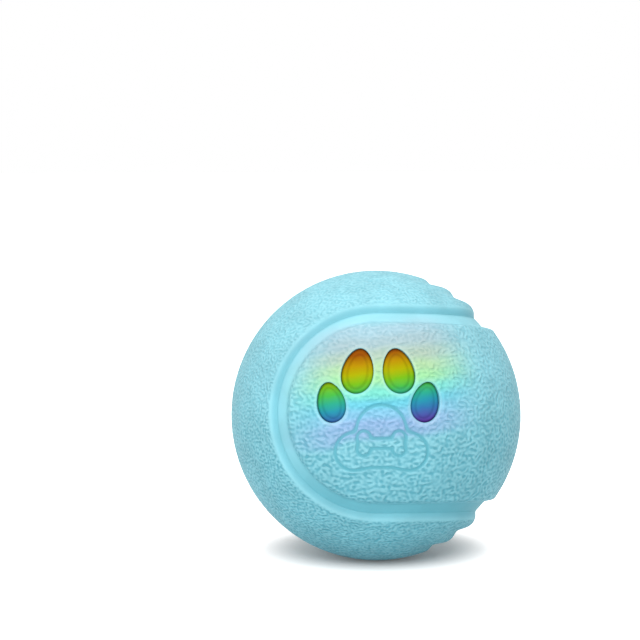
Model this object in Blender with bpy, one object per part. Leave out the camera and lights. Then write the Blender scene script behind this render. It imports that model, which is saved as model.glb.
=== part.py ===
"""Interactive dog ball: two rubber panels on a hard core that rolls itself with a swinging weight.

Metres, +Z up, origin at the ball's centre. The drive axis is X. Everything fixed to the ball is
modelled in the ball's own frame, where the paw faces -Y, and the whole ball is rolled back a
little about X, so that the paw looks slightly upwards.
"""

from math import acos, asin, atan2, cos, exp, pi, radians, sin, sqrt, tan

import bmesh
import bpy
from mathutils import Matrix, Vector

# The ball and its cover. What sits inside is sized as a share of the ball's radius, apart from
# bought-in parts, walls and clearances.
BALL_RADIUS = 0.0400
BALL_ROLL = radians(-10)
COVER_WALL = 0.00385
PANEL_GAP = 0.00030
GROOVE_DEPTH = 0.00185
CHANNEL_WIDTH = radians(4.3)
SHOULDER_WIDTH = radians(4.6)
LIP_WIDTH = radians(1.1)
RIDGE_DEPTH = 0.00105
RIDGE_PITCH = radians(10.8)
RIDGE_COUNT = 2
RIDGE_SHARPNESS = 1.3
SEAM_LATITUDE = radians(43.8)
ARC_STEPS = 16

# Rows of vertices, as shares of the channel, of the shoulder, of the lip, of a ridge and of the
# way from the last one to the middle of a panel
CHANNEL_ROW_SHARES = (0.5, 1.0)
SHOULDER_ROW_SHARES = (0.3, 0.65, 1.0)
LIP_ROW_SHARES = (0.6, 1.5)
RIDGE_ROW_SHARES = (0.3, 0.6, 0.8, 1.0)
RIDGE_END_SHARE = 0.5
FLAT_ROW_SHARES = (0.3, 0.65)
INNER_ROW_SHARES = (0.25, 0.5, 0.75, 1.0)

# The ridges are full at the back of the right half, and fade out towards the paw: the shares of
# the ball's radius between which they fade, across and front to back
RIDGE_FADE_ACROSS_SHARES = (0.0, 0.3)
RIDGE_FADE_DEPTH_SHARES = (-0.42, -0.06)

# The toes, as shares of the ball's radius: place across and up, half width and half height
INNER_TOE_SHARES = (0.134, 0.272, 0.105, 0.1560)
OUTER_TOE_SHARES = (0.312, 0.0650, 0.097, 0.1350)
TOE_SINK = 0.0010
TOE_DOME = 0.0007
TOE_CLEARANCE = 0.00030
TOE_STEPS = 16
TOE_NARROWING = 0.16
TOE_CROWN_SHARES = ((0.6, 0.86), (1.0, 0.55))
INNER_TOE_LEAN = radians(-6)
OUTER_TOE_LEAN = radians(16)

# The core
CORE_CLEARANCE = 0.00045
CORE_WALL = 0.0022
SEAL_THICKNESS = 0.0008
SEAL_WIDTH = 0.0014
SEAL_INSET = 0.0003
FIT_GAP = 0.0003
CORE_SEGMENTS = 24
CORE_STEPS = 5
CUT_OVERRUN = 0.0040

# Screws
CORE_SCREW_RADIUS = 0.0010
CORE_SCREW_HEAD_RADIUS = 0.0019
CORE_SCREW_HEAD = 0.0014
CORE_SCREW_LENGTH = 0.40 * BALL_RADIUS
CORE_SCREW_INSET = 0.0035
CORE_BOSS_RADIUS = 0.0033
SMALL_SCREW_RADIUS = 0.0008
SMALL_SCREW_HEAD_RADIUS = 0.0016
SMALL_SCREW_HEAD = 0.0011
SMALL_SCREW_LENGTH = 0.0036
SMALL_BOSS_RADIUS = 0.0020
SCREW_CROWN_SHARE = 0.72
SCREW_SHOULDER_SHARE = 0.55
SCREW_POINT_SHARE = 0.4

# The chassis and its plates
RING_WIDTH = 0.0048
RING_THICKNESS = 0.0030
RING_CLEARANCE = 0.0007
PLATE_THICKNESS = 0.0014
PLATE_END_RADIUS = 0.0040
BEARING_PLATE_WIDTH = 0.0130

# The drive
SHAFT_RADIUS = 0.0015
SHAFT_RUNNING_GAP = 0.00020
SHAFT_END_SHARE = 0.8
BUSH_WALL = 0.0010
GEAR_MODULE = 0.020 * BALL_RADIUS
OUTPUT_TEETH = 30
LARGE_TEETH = 27
SMALL_TEETH = 9
PINION_TEETH = 9
GEAR_BACKLASH = 0.00014
GEAR_FACE = 0.060 * BALL_RADIUS
PRESSURE_ANGLE = radians(25)
ADDENDUM_SHARE = 0.85
DEDENDUM_SHARE = 1.15
GEAR_WINDOWS = 5
GEAR_WINDOW_SHARE = 0.82
LAYER_GAP = 0.0004
PIN_RADIUS = 0.0008
PILLAR_RADIUS = 0.0021
MOTOR_RADIUS = 0.150 * BALL_RADIUS
MOTOR_END_GAP = 0.0019
MOTOR_OFFSET = 0.255 * BALL_RADIUS
MOTOR_NOSE_RADIUS = 0.0020
MOTOR_SHAFT_RADIUS = 0.0006
CRADLE_WALL = 0.0011
CRADLE_LENGTH = 0.150 * BALL_RADIUS
WEIGHT_TO_BOARD = 0.0012
WEIGHT_HUB_RADIUS = 0.150 * BALL_RADIUS
WEIGHT_THICKNESS = 0.250 * BALL_RADIUS
WEIGHT_HALF_ANGLE = radians(75)
WEIGHT_CHAMFER = 0.0008
SWING_GAP = 0.0011
SET_SCREW_RADIUS = 0.0012
SET_SCREW_INSET = 0.0006
WEIGHT_ARC_STEPS = 14
WEIGHT_HUB_STEPS = 8
WEIGHT_HUB_START = radians(10)

# The battery
BATTERY_WIDTH = 0.600 * BALL_RADIUS
BATTERY_THICKNESS = 0.185 * BALL_RADIUS
BATTERY_DROP = 0.075 * BALL_RADIUS
HOLDER_WALL = 0.0010
HOLDER_DEPTH = 0.180 * BALL_RADIUS
HOLDER_EAR_RADIUS = 0.0028
HOLDER_EAR_SHARE = 0.9

# The lights
LED_BOARD_RADIUS = 0.375 * BALL_RADIUS
BOARD_THICKNESS = 0.0010
LED_BOARD_PLACE = 0.680 * BALL_RADIUS
LED_WIDTH = 0.0034
LED_HEIGHT = 0.0012
LED_DOME_SHARE = 0.7
LED_WALL_SHARE = 0.8
LED_SCREW_PLACE = 0.2375 * BALL_RADIUS
LED_TO_LENS = 0.0011

# The rear controls. The plate is as wide as its socket and button with the spaces round them.
CONTROL_CORNER = 0.0025
CONTROL_THICKNESS = 0.00145
CONTROL_SINK = 0.0028
SOCKET_MARGIN = 0.00323
SOCKET_TO_BUTTON = 0.00223
BUTTON_MARGIN = 0.00400
FLAP_MARGIN = 0.0030
LIP_INSET = 0.0023
LIP_WALL = 0.0008
LIP_DEPTH = 0.0018
PAD_DEPTH = 0.0040
BUTTON_RADIUS = 0.0030
BUTTON_RISE = 0.0010
BUTTON_TRAVEL = 0.0006
BUTTON_FLANGE = 0.0006
BUTTON_FLANGE_HEIGHT = 0.0010
BUTTON_STEM_RADIUS = 0.0014
SWITCH_WIDTH = 0.0060
SWITCH_HEIGHT = 0.0035
SWITCH_PLUNGER_RADIUS = 0.0016
SWITCH_PLUNGER_HEIGHT = 0.0012
USB_WIDTH = 0.00894
USB_HEIGHT = 0.00326
USB_WALL = 0.00032
USB_DEPTH = 0.0066
USB_RECESS = 0.0006
USB_TONGUE_THICKNESS = 0.0007
USB_TONGUE_SHARE = 0.74
USB_CORNER_SHARE = 0.45
CONTROL_DEPTH = 0.0110
CONTROL_BOARD_MARGIN = 0.0023
CONTROL_BOARD_EXTRA_HEIGHT = 0.0008
CONTROL_SCREW_OVERHANG = 0.0002
SENSOR_RADIUS = 0.0014
SENSOR_LENGTH = 0.0034
SENSOR_PLACE = 0.0050
SENSOR_CROWN_SHARE = 0.75
FLAP_HINGE_INSET = 0.0013
FLAP_OVERLAP = 0.00133
FLAP_BORDER = 0.00207
FLAP_THICKNESS = 0.0010
FLAP_BEAD_RADIUS = 0.00075
FLAP_BEAD_RISE = 0.00015
FLAP_LIP = 0.0006
FLAP_PLUG_DEPTH = 0.0006
FLAP_PLUG_WIDTH_SHARE = 0.85
FLAP_PLUG_HEIGHT_SHARE = 0.75
FLAP_WEB_SHARE = 0.6
FLAP_WEB_LOW_SHARE = 0.1
FLAP_WEB_HIGH_SHARE = 0.42
FLAP_START_SHARE = 0.7
FLAP_BEAD_END_SHARE = 0.6
FLAP_BEAD_CHAMFER_SHARE = 0.4

# Sides of round pieces
ROUND_SIDES = 12
SCREW_SIDES = 8
WIDE_SIDES = 20

# Derived sizes
COVER_INNER = BALL_RADIUS - COVER_WALL
CORE_OUTER = COVER_INNER - CORE_CLEARANCE
CORE_INNER = CORE_OUTER - CORE_WALL
CORE_MIDDLE = (CORE_OUTER + CORE_INNER) / 2
CORE_SCREW_CIRCLE = CORE_INNER - CORE_SCREW_INSET
HALF_SPLIT = SEAL_THICKNESS / 2 + FIT_GAP
RING_OUTER = CORE_INNER - RING_CLEARANCE
RING_INNER = RING_OUTER - RING_WIDTH
GEARBOX_COVER_RIGHT = -WEIGHT_THICKNESS / 2 + FIT_GAP * 2 - SWING_GAP
GEARBOX_COVER_LEFT = GEARBOX_COVER_RIGHT - PLATE_THICKNESS
SECOND_LAYER_RIGHT = GEARBOX_COVER_LEFT - FIT_GAP
SECOND_LAYER_LEFT = SECOND_LAYER_RIGHT - GEAR_FACE
FIRST_LAYER_RIGHT = SECOND_LAYER_LEFT - LAYER_GAP
FIRST_LAYER_LEFT = FIRST_LAYER_RIGHT - GEAR_FACE
LEFT_PLATE_RIGHT = FIRST_LAYER_LEFT - FIT_GAP
LEFT_PLATE_LEFT = LEFT_PLATE_RIGHT - PLATE_THICKNESS
WEIGHT_LEFT = GEARBOX_COVER_RIGHT + SWING_GAP
WEIGHT_RIGHT = WEIGHT_LEFT + WEIGHT_THICKNESS
RIGHT_PLATE_LEFT = WEIGHT_RIGHT + SWING_GAP
RIGHT_PLATE_RIGHT = RIGHT_PLATE_LEFT + PLATE_THICKNESS
HOLDER_LEFT = RIGHT_PLATE_RIGHT + FIT_GAP
BATTERY_LEFT = HOLDER_LEFT + HOLDER_WALL + FIT_GAP
BUSH_RADIUS = SHAFT_RADIUS + SHAFT_RUNNING_GAP + BUSH_WALL

STAGE_TWO = GEAR_MODULE * (OUTPUT_TEETH + SMALL_TEETH) / 2
STAGE_ONE = GEAR_MODULE * (LARGE_TEETH + PINION_TEETH) / 2
MOTOR_ANGLE = radians(-140)
STAGE_ANGLE = acos(
    (STAGE_TWO**2 + MOTOR_OFFSET**2 - STAGE_ONE**2) / (2 * STAGE_TWO * MOTOR_OFFSET)
)
COMPOUND_ANGLE = MOTOR_ANGLE - STAGE_ANGLE
COMPOUND_AXIS = (STAGE_TWO * cos(COMPOUND_ANGLE), STAGE_TWO * sin(COMPOUND_ANGLE))
MOTOR_AXIS = (MOTOR_OFFSET * cos(MOTOR_ANGLE), MOTOR_OFFSET * sin(MOTOR_ANGLE))
OUTPUT_REACH = GEAR_MODULE * (OUTPUT_TEETH / 2 + 1)
MOTOR_ROOM = sqrt(CORE_INNER**2 - (MOTOR_OFFSET + MOTOR_RADIUS) ** 2)
MOTOR_LENGTH = MOTOR_ROOM - MOTOR_END_GAP + LEFT_PLATE_LEFT - FIT_GAP
SET_SCREW_LENGTH = WEIGHT_HUB_RADIUS - SHAFT_RADIUS - FIT_GAP - SET_SCREW_INSET

# The pillars stand clear round the output gear: angle, and a share of the gear's reach
PILLAR_ANGLES = (radians(-35), radians(-128), radians(75))
PILLAR_PLACE_SHARES = (1.30, 1.75, 1.55)

CONTROL_WIDTH = SOCKET_MARGIN + USB_WIDTH + SOCKET_TO_BUTTON + 2 * BUTTON_RADIUS + BUTTON_MARGIN
USB_PLACE = -CONTROL_WIDTH / 2 + SOCKET_MARGIN + USB_WIDTH / 2
BUTTON_PLACE = CONTROL_WIDTH / 2 - BUTTON_MARGIN - BUTTON_RADIUS
FLAP_WIDTH = USB_HEIGHT + 2 * FLAP_BORDER
CONTROL_HEIGHT = FLAP_WIDTH + 2 * FLAP_MARGIN
FLAP_HINGE_PLACE = -CONTROL_WIDTH / 2 + FLAP_HINGE_INSET
FLAP_LENGTH = USB_PLACE + USB_WIDTH / 2 + FLAP_OVERLAP - FLAP_HINGE_PLACE
CONTROL_FACE_PLACE = BALL_RADIUS - CONTROL_SINK
CONTROL_BOARD_PLACE = CONTROL_FACE_PLACE - CONTROL_DEPTH
CONTROL_BOARD_WIDTH = CONTROL_WIDTH + 2 * CONTROL_BOARD_MARGIN
CONTROL_BOARD_HEIGHT = CONTROL_HEIGHT + 2 * CONTROL_BOARD_EXTRA_HEIGHT
CONTROL_SCREW_PLACE = CONTROL_WIDTH / 2 + CONTROL_SCREW_OVERHANG
WEIGHT_RADIUS = CONTROL_BOARD_PLACE - WEIGHT_TO_BOARD
PAD_FACE_PLACE = CONTROL_FACE_PLACE - CONTROL_THICKNESS - FIT_GAP
PLATE_BACK_PLACE = CONTROL_FACE_PLACE - CONTROL_THICKNESS
OPENING_WIDTH = CONTROL_WIDTH - 2 * (LIP_INSET - FIT_GAP)
OPENING_HEIGHT = CONTROL_HEIGHT - 2 * (LIP_INSET - FIT_GAP - LIP_WALL / 2)
BOARD_FRONT_PLACE = CONTROL_BOARD_PLACE + BOARD_THICKNESS
SWITCH_TOP_PLACE = BOARD_FRONT_PLACE + FIT_GAP + SWITCH_HEIGHT + SWITCH_PLUNGER_HEIGHT
LED_BOARD_FRONT = -LED_BOARD_PLACE - BOARD_THICKNESS
LED_TOP = LED_BOARD_PLACE + BOARD_THICKNESS + LED_HEIGHT
OUTER_TOE_ANGLE = asin(sqrt(OUTER_TOE_SHARES[0] ** 2 + OUTER_TOE_SHARES[1] ** 2))
LENS_BACK_RADIUS = LED_TOP / cos(OUTER_TOE_ANGLE) + LED_TO_LENS
FLAP_HINGE_HEIGHT = CONTROL_FACE_PLACE + FLAP_BEAD_RISE


# The scene
def clear_scene():
    """Remove every object that the file starts with."""
    for item in list(bpy.data.objects):
        bpy.data.objects.remove(item, do_unlink=True)


def material(name, colour, roughness, metallic=0.0, alpha=1.0):
    """One Principled material for a sub-part."""
    made = bpy.data.materials.new(name)
    made.use_nodes = True
    shader = made.node_tree.nodes["Principled BSDF"]
    shader.inputs["Base Color"].default_value = (*colour, 1.0)
    shader.inputs["Roughness"].default_value = roughness
    shader.inputs["Metallic"].default_value = metallic
    shader.inputs["Alpha"].default_value = alpha
    made.diffuse_color = (*colour, alpha)
    return made


def empty(name, location=(0, 0, 0), parent=None):
    """A guide that carries other objects on an axis."""
    guide = bpy.data.objects.new(name, None)
    guide.location = location
    guide.parent = parent
    bpy.context.collection.objects.link(guide)
    return guide


def add_object(name, mesh_data, finish, parent, location=(0, 0, 0), turn=None, smooth=True):
    """Turn a bmesh into a named object under its parent."""
    mesh = bpy.data.meshes.new(name)
    bmesh.ops.recalc_face_normals(mesh_data, faces=mesh_data.faces)
    mesh_data.to_mesh(mesh)
    mesh_data.free()
    made = bpy.data.objects.new(name, mesh)
    bpy.context.collection.objects.link(made)
    made.parent = parent
    made.location = location
    if turn is not None:
        made.rotation_euler = turn
    if finish is not None:
        mesh.materials.append(finish)
    if smooth:
        mesh.shade_smooth()
        mesh.set_sharp_from_angle(angle=radians(35))
    return made


def combine(target, tool, operation):
    """Cut or join a hidden tool object into a target, with the exact solver."""
    tool.hide_render = True
    tool.display_type = "WIRE"
    change = target.modifiers.new(operation.title() + " " + tool.name, "BOOLEAN")
    change.operation = operation
    change.solver = "EXACT"
    change.object = tool


# Shapes
def ring_of(mesh, points):
    """One vertex for each point."""
    return [mesh.verts.new(point) for point in points]


def bridge(mesh, first, second):
    """Quads between two rings with the same number of vertices."""
    count = len(first)
    for index in range(count):
        after = (index + 1) % count
        mesh.faces.new((first[index], first[after], second[after], second[index]))


def loft(rings):
    """A closed solid through rings of points, capped at both ends."""
    mesh = bmesh.new()
    made = [ring_of(mesh, points) for points in rings]
    for first, second in zip(made, made[1:]):
        bridge(mesh, first, second)
    mesh.faces.new(list(reversed(made[0])))
    mesh.faces.new(made[-1])
    return mesh


def tube(profiles):
    """A closed ring-shaped solid through a closed loop of rings."""
    mesh = bmesh.new()
    made = [ring_of(mesh, points) for points in profiles]
    for first, second in zip(made, made[1:] + made[:1]):
        bridge(mesh, first, second)
    return mesh


def circle(radius, along, sides, axis="X", centre=(0, 0), turn=0):
    """Points of a circle about an axis; centre is the place across that axis."""
    points = []
    for index in range(sides):
        angle = turn + 2 * pi * index / sides
        first = centre[0] + radius * cos(angle)
        second = centre[1] + radius * sin(angle)
        points.append(place(first, second, along, axis))
    return points


def place(first, second, along, axis):
    """A point from two places across an axis and one along it."""
    if axis == "X":
        return (along, first, second)
    if axis == "Y":
        return (first, along, second)
    return (first, second, along)


def turned(profile, sides, axis="X", centre=(0, 0)):
    """A solid of revolution with flat ends; the profile lists radius and place along the axis."""
    return loft([circle(radius, along, sides, axis, centre) for radius, along in profile])


def sleeve(inner, outer, low, high, sides, axis="X", centre=(0, 0)):
    """A round tube with square ends."""
    corners = ((outer, low), (outer, high), (inner, high), (inner, low))
    return tube([circle(radius, along, sides, axis, centre) for radius, along in corners])


def rounded_rectangle(width, height, corner, centre=(0, 0), steps=4):
    """Outline of a rectangle with round corners."""
    outline = []
    for quarter in range(4):
        start = quarter * pi / 2
        side = 1 if quarter in (0, 3) else -1
        rise = 1 if quarter in (0, 1) else -1
        middle = (
            centre[0] + side * (width / 2 - corner),
            centre[1] + rise * (height / 2 - corner),
        )
        for step in range(steps + 1):
            angle = start + step / steps * pi / 2
            outline.append((middle[0] + corner * cos(angle), middle[1] + corner * sin(angle)))
    return outline


def prism(outline, low, high, axis):
    """An outline pushed along an axis."""
    rings = []
    for along in (low, high):
        rings.append([place(first, second, along, axis) for first, second in outline])
    return loft(rings)


def frame_prism(outer, inner, low, high, axis):
    """A wall between two outlines with the same number of points."""
    rings = []
    for outline, along in ((outer, low), (outer, high), (inner, high), (inner, low)):
        rings.append([place(first, second, along, axis) for first, second in outline])
    return tube(rings)


def hull_plate(discs, low, high, sides=ROUND_SIDES):
    """A flat plate across X whose outline is stretched round a set of discs."""
    mesh = bmesh.new()
    for along in (low, high):
        for first, second, radius in discs:
            ring_of(mesh, circle(radius, along, sides, "X", (first, second)))
    result = bmesh.ops.convex_hull(mesh, input=mesh.verts)
    inner = [item for item in result["geom_interior"] if isinstance(item, bmesh.types.BMVert)]
    bmesh.ops.delete(mesh, geom=inner, context="VERTS")
    bmesh.ops.dissolve_limit(
        mesh, angle_limit=radians(1), verts=mesh.verts, edges=mesh.edges
    )
    return mesh


def merge(meshes):
    """Several separate solids in one mesh, for a tool that cuts in one go."""
    whole = bmesh.new()
    for mesh in meshes:
        scratch = bpy.data.meshes.new("scratch")
        mesh.to_mesh(scratch)
        mesh.free()
        whole.from_mesh(scratch)
        bpy.data.meshes.remove(scratch)
    return whole


# The cover
def soft_step(value, low, high):
    """0 below the low value, 1 above the high one, soft between."""
    share = min(1.0, max(0.0, (value - low) / (high - low)))
    return share * share * (3 - 2 * share)


def lip_and_ridges(distance, way):
    """How far the ridged panel sinks at an angle from the seam, in a direction of the ball."""
    wave = (1 + cos(2 * pi * distance / RIDGE_PITCH)) / 2
    share = soft_step(way.x, *RIDGE_FADE_ACROSS_SHARES) * soft_step(way.y, *RIDGE_FADE_DEPTH_SHARES)
    if distance > (RIDGE_COUNT + RIDGE_END_SHARE) * RIDGE_PITCH:
        share = 0.0
    ridges = RIDGE_DEPTH * share * wave**RIDGE_SHARPNESS
    return ridges + (GROOVE_DEPTH - ridges) * exp(-((distance / LIP_WIDTH) ** 2))


def channel_and_shoulder(distance, way):
    """How far the paw panel sinks at an angle from the seam: a flat channel and its shoulder."""
    return GROOVE_DEPTH * (1 - soft_step(distance, CHANNEL_WIDTH, CHANNEL_WIDTH + SHOULDER_WIDTH))


def panel_direction(column, reach):
    """Unit direction at a place along the seam and an angle out from the paw panel's middle line."""
    arc, step = divmod(column, ARC_STEPS)
    turn = pi * step / ARC_STEPS
    if arc % 2 == 0:
        side = 1 if arc == 0 else -1
        longitude = side * (turn - pi / 2)
        return Vector(
            (cos(reach) * cos(longitude), cos(reach) * sin(longitude), side * sin(reach))
        )
    end = 1 if arc == 1 else -1
    return Vector((-sin(reach) * sin(turn), end * cos(reach), end * sin(reach) * cos(turn)))


def panel_mesh(relief, rows, swap):
    """One cover panel: its relief outside, a plain sphere inside, and a rim along the seam."""
    mesh = bmesh.new()
    columns = range(4 * ARC_STEPS)
    latitude = rows[-1]
    inner_rows = [rows[0]] + [latitude * share for share in INNER_ROW_SHARES]
    outer = []
    for distance in rows:
        points = []
        for column in columns:
            way = panel_direction(column, latitude - distance)
            points.append(way * (BALL_RADIUS - relief(distance, swap @ way)))
        outer.append(ring_of(mesh, points))
    inner = []
    for distance in inner_rows:
        points = [panel_direction(c, latitude - distance) * COVER_INNER for c in columns]
        inner.append(ring_of(mesh, points))
    for rings in (outer, inner):
        for first, second in zip(rings, rings[1:]):
            bridge(mesh, first, second)
    bridge(mesh, outer[0], inner[0])
    bmesh.ops.remove_doubles(mesh, verts=mesh.verts, dist=PANEL_GAP / 100)
    bmesh.ops.transform(mesh, matrix=swap.to_4x4(), verts=mesh.verts)
    return mesh


def flat_rows(last, latitude):
    """Angles of the last rows, from the end of the relief to the middle of the panel."""
    return [last + (latitude - last) * share for share in FLAT_ROW_SHARES] + [latitude]


def paw_rows():
    """Angles in from the seam where the paw panel has a row of vertices."""
    rows = [asin(PANEL_GAP / 2 / BALL_RADIUS)]
    rows += [CHANNEL_WIDTH * share for share in CHANNEL_ROW_SHARES]
    rows += [CHANNEL_WIDTH + SHOULDER_WIDTH * share for share in SHOULDER_ROW_SHARES]
    return rows + flat_rows(rows[-1], SEAM_LATITUDE)


def ridge_rows():
    """Angles in from the seam where the ridged panel has a row of vertices."""
    rows = [asin(PANEL_GAP / 2 / BALL_RADIUS)]
    rows += [LIP_WIDTH * share for share in LIP_ROW_SHARES]
    for ridge in range(RIDGE_COUNT):
        rows += [(ridge + share) * RIDGE_PITCH for share in RIDGE_ROW_SHARES]
    for share in (RIDGE_END_SHARE / 2, RIDGE_END_SHARE):
        rows.append((RIDGE_COUNT + share) * RIDGE_PITCH)
    return rows + flat_rows(rows[-1], pi / 2 - SEAM_LATITUDE)


def toe_list():
    """Each toe's place, half width, half height and lean, left to right."""
    toes = []
    for side in (-1, 1):
        pair = []
        kinds = ((OUTER_TOE_SHARES, OUTER_TOE_LEAN), (INNER_TOE_SHARES, INNER_TOE_LEAN))
        for shares, lean in kinds:
            across, up, half_width, half_height = (share * BALL_RADIUS for share in shares)
            pair.append((side * across, up, half_width, half_height, side * lean))
        toes += pair if side < 0 else list(reversed(pair))
    return toes


def toe_frame(toe):
    """Matrix whose Z runs out through a toe, and whose Y runs up its length."""
    across, up, _, _, lean = toe
    outward = Vector((across, -sqrt(BALL_RADIUS**2 - across**2 - up**2), up)).normalized()
    leaning = Vector((sin(lean), 0, cos(lean)))
    long_way = (leaning - outward * leaning.dot(outward)).normalized()
    cross = long_way.cross(outward)
    return Matrix((cross, long_way, outward)).transposed().to_4x4()


def egg(half_width, half_height, along, share=1.0):
    """Outline of a toe at a distance from the ball's centre, with its narrow end up."""
    points = []
    for index in range(TOE_STEPS):
        angle = 2 * pi * index / TOE_STEPS
        width = half_width * share * cos(angle) * (1 - TOE_NARROWING * sin(angle))
        points.append((width, half_height * share * sin(angle), along))
    return points


def toe_cutter(toe):
    """The egg-shaped hole of one toe, from inside the core to outside the cover."""
    _, _, half_width, half_height, _ = toe
    low = CORE_INNER - CUT_OVERRUN / 4
    high = BALL_RADIUS + CUT_OVERRUN / 4
    mesh = loft([egg(half_width, half_height, low), egg(half_width, half_height, high)])
    bmesh.ops.transform(mesh, matrix=toe_frame(toe), verts=mesh.verts)
    return mesh


def make_cover(ball, rubber, guide_finish):
    """Both rubber panels, with the holes for the toes and the rear controls."""
    paw = panel_mesh(channel_and_shoulder, paw_rows(), Matrix.Identity(3))
    paw = add_object("paw_panel", paw, rubber, ball)
    swap = Matrix(((-1, 0, 0), (0, 0, 1), (0, 1, 0)))
    add_object("ridged_panel", panel_mesh(lip_and_ridges, ridge_rows(), swap), rubber, ball)
    toe_tools = []
    for number, toe in enumerate(toe_list(), 1):
        name = f"toe_cutter_{number}"
        toe_tools.append(add_object(name, toe_cutter(toe), guide_finish, ball, smooth=False))
        combine(paw, toe_tools[-1], "DIFFERENCE")
    outline = rounded_rectangle(
        CONTROL_WIDTH + 2 * FIT_GAP,
        CONTROL_HEIGHT + 2 * FIT_GAP,
        CONTROL_CORNER + FIT_GAP,
    )
    recess = prism(outline, CORE_MIDDLE - CUT_OVERRUN * 2, BALL_RADIUS + CUT_OVERRUN, "Y")
    recess_tool = add_object("recess_cutter", recess, guide_finish, ball, smooth=False)
    combine(paw, recess_tool, "DIFFERENCE")
    return toe_tools


def make_toes(ball, lens):
    """The four lit windows: domed plugs of clear silicone."""
    for number, toe in enumerate(toe_list(), 1):
        _, _, half_width, half_height, _ = toe
        width = half_width - TOE_CLEARANCE
        height = half_height - TOE_CLEARANCE
        shoulder = BALL_RADIUS - TOE_SINK - TOE_DOME
        rings = [egg(width, height, LENS_BACK_RADIUS), egg(width, height, shoulder)]
        for rise, share in TOE_CROWN_SHARES:
            rings.append(egg(width, height, shoulder + TOE_DOME * rise, share))
        mesh = loft(rings)
        bmesh.ops.transform(mesh, matrix=toe_frame(toe), verts=mesh.verts)
        add_object(f"toe_lens_{number}", mesh, lens, ball)


# The core
def core_profile(radius):
    """Rings of a half ball, from the split to near the pole: radius and place along Y."""
    start = asin(HALF_SPLIT / radius)
    angles = [start + (pi / 2 - start) * step / CORE_STEPS for step in range(CORE_STEPS)]
    return [(radius * cos(angle), radius * sin(angle)) for angle in angles]


def core_half(side):
    """One half of the hard core: a bowl that opens at the split."""
    mesh = bmesh.new()
    shells = []
    for radius in (CORE_OUTER, CORE_INNER):
        rings = []
        for ring_radius, along in core_profile(radius):
            points = circle(
                ring_radius, side * along, CORE_SEGMENTS, "Y", turn=pi / CORE_SEGMENTS
            )
            rings.append(ring_of(mesh, points))
        for first, second in zip(rings, rings[1:]):
            bridge(mesh, first, second)
        pole = mesh.verts.new((0, side * radius, 0))
        last = rings[-1]
        for index, vertex in enumerate(last):
            mesh.faces.new((vertex, last[(index + 1) % len(last)], pole))
        shells.append(rings[0])
    bridge(mesh, shells[0], shells[1])
    return mesh


def wall_place(across, up):
    """How far along Y the middle of the core's wall lies at a place across it."""
    return sqrt(CORE_MIDDLE**2 - across**2 - up**2)


def wall_boss(centre, radius, start, side):
    """A round boss that grows from the core's wall to a flat end at the start place."""
    near = circle(radius, side * start, ROUND_SIDES, "Y", centre)
    far = [(x, side * wall_place(x, z), z) for x, _, z in near]
    return loft([near, far])


def hole(radius, low, high, centre, axis="Y", sides=SCREW_SIDES + 2):
    """A round cutter."""
    return turned([(radius, low), (radius, high)], sides, axis, centre)


def screw_places():
    """The four core screws, across Y."""
    reach = CORE_SCREW_CIRCLE / sqrt(2)
    return [(reach, reach), (-reach, reach), (-reach, -reach), (reach, -reach)]


def rear_boss_places():
    """The two screws of the control board, across Y."""
    return [(CONTROL_SCREW_PLACE, 0), (-CONTROL_SCREW_PLACE, 0)]


def led_boss_places():
    """The two screws of the light board, across Y."""
    return [(LED_SCREW_PLACE, -LED_SCREW_PLACE), (-LED_SCREW_PLACE, -LED_SCREW_PLACE)]


def cut_control_opening(shell, ball, guide_finish):
    """A flat pad on the rear half, with the opening that the control plate plugs."""
    outline = rounded_rectangle(CONTROL_WIDTH, CONTROL_HEIGHT, CONTROL_CORNER)
    pad = prism(outline, PAD_FACE_PLACE - PAD_DEPTH, PAD_FACE_PLACE, "Y")
    tool = add_object("control_pad", pad, guide_finish, ball, smooth=False)
    combine(shell, tool, "UNION")
    opening = rounded_rectangle(OPENING_WIDTH, OPENING_HEIGHT, CONTROL_CORNER - LIP_WALL)
    cutter = prism(opening, BOARD_FRONT_PLACE, BALL_RADIUS + CUT_OVERRUN, "Y")
    tool = add_object("opening_cutter", cutter, guide_finish, ball, smooth=False)
    combine(shell, tool, "DIFFERENCE")


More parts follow.
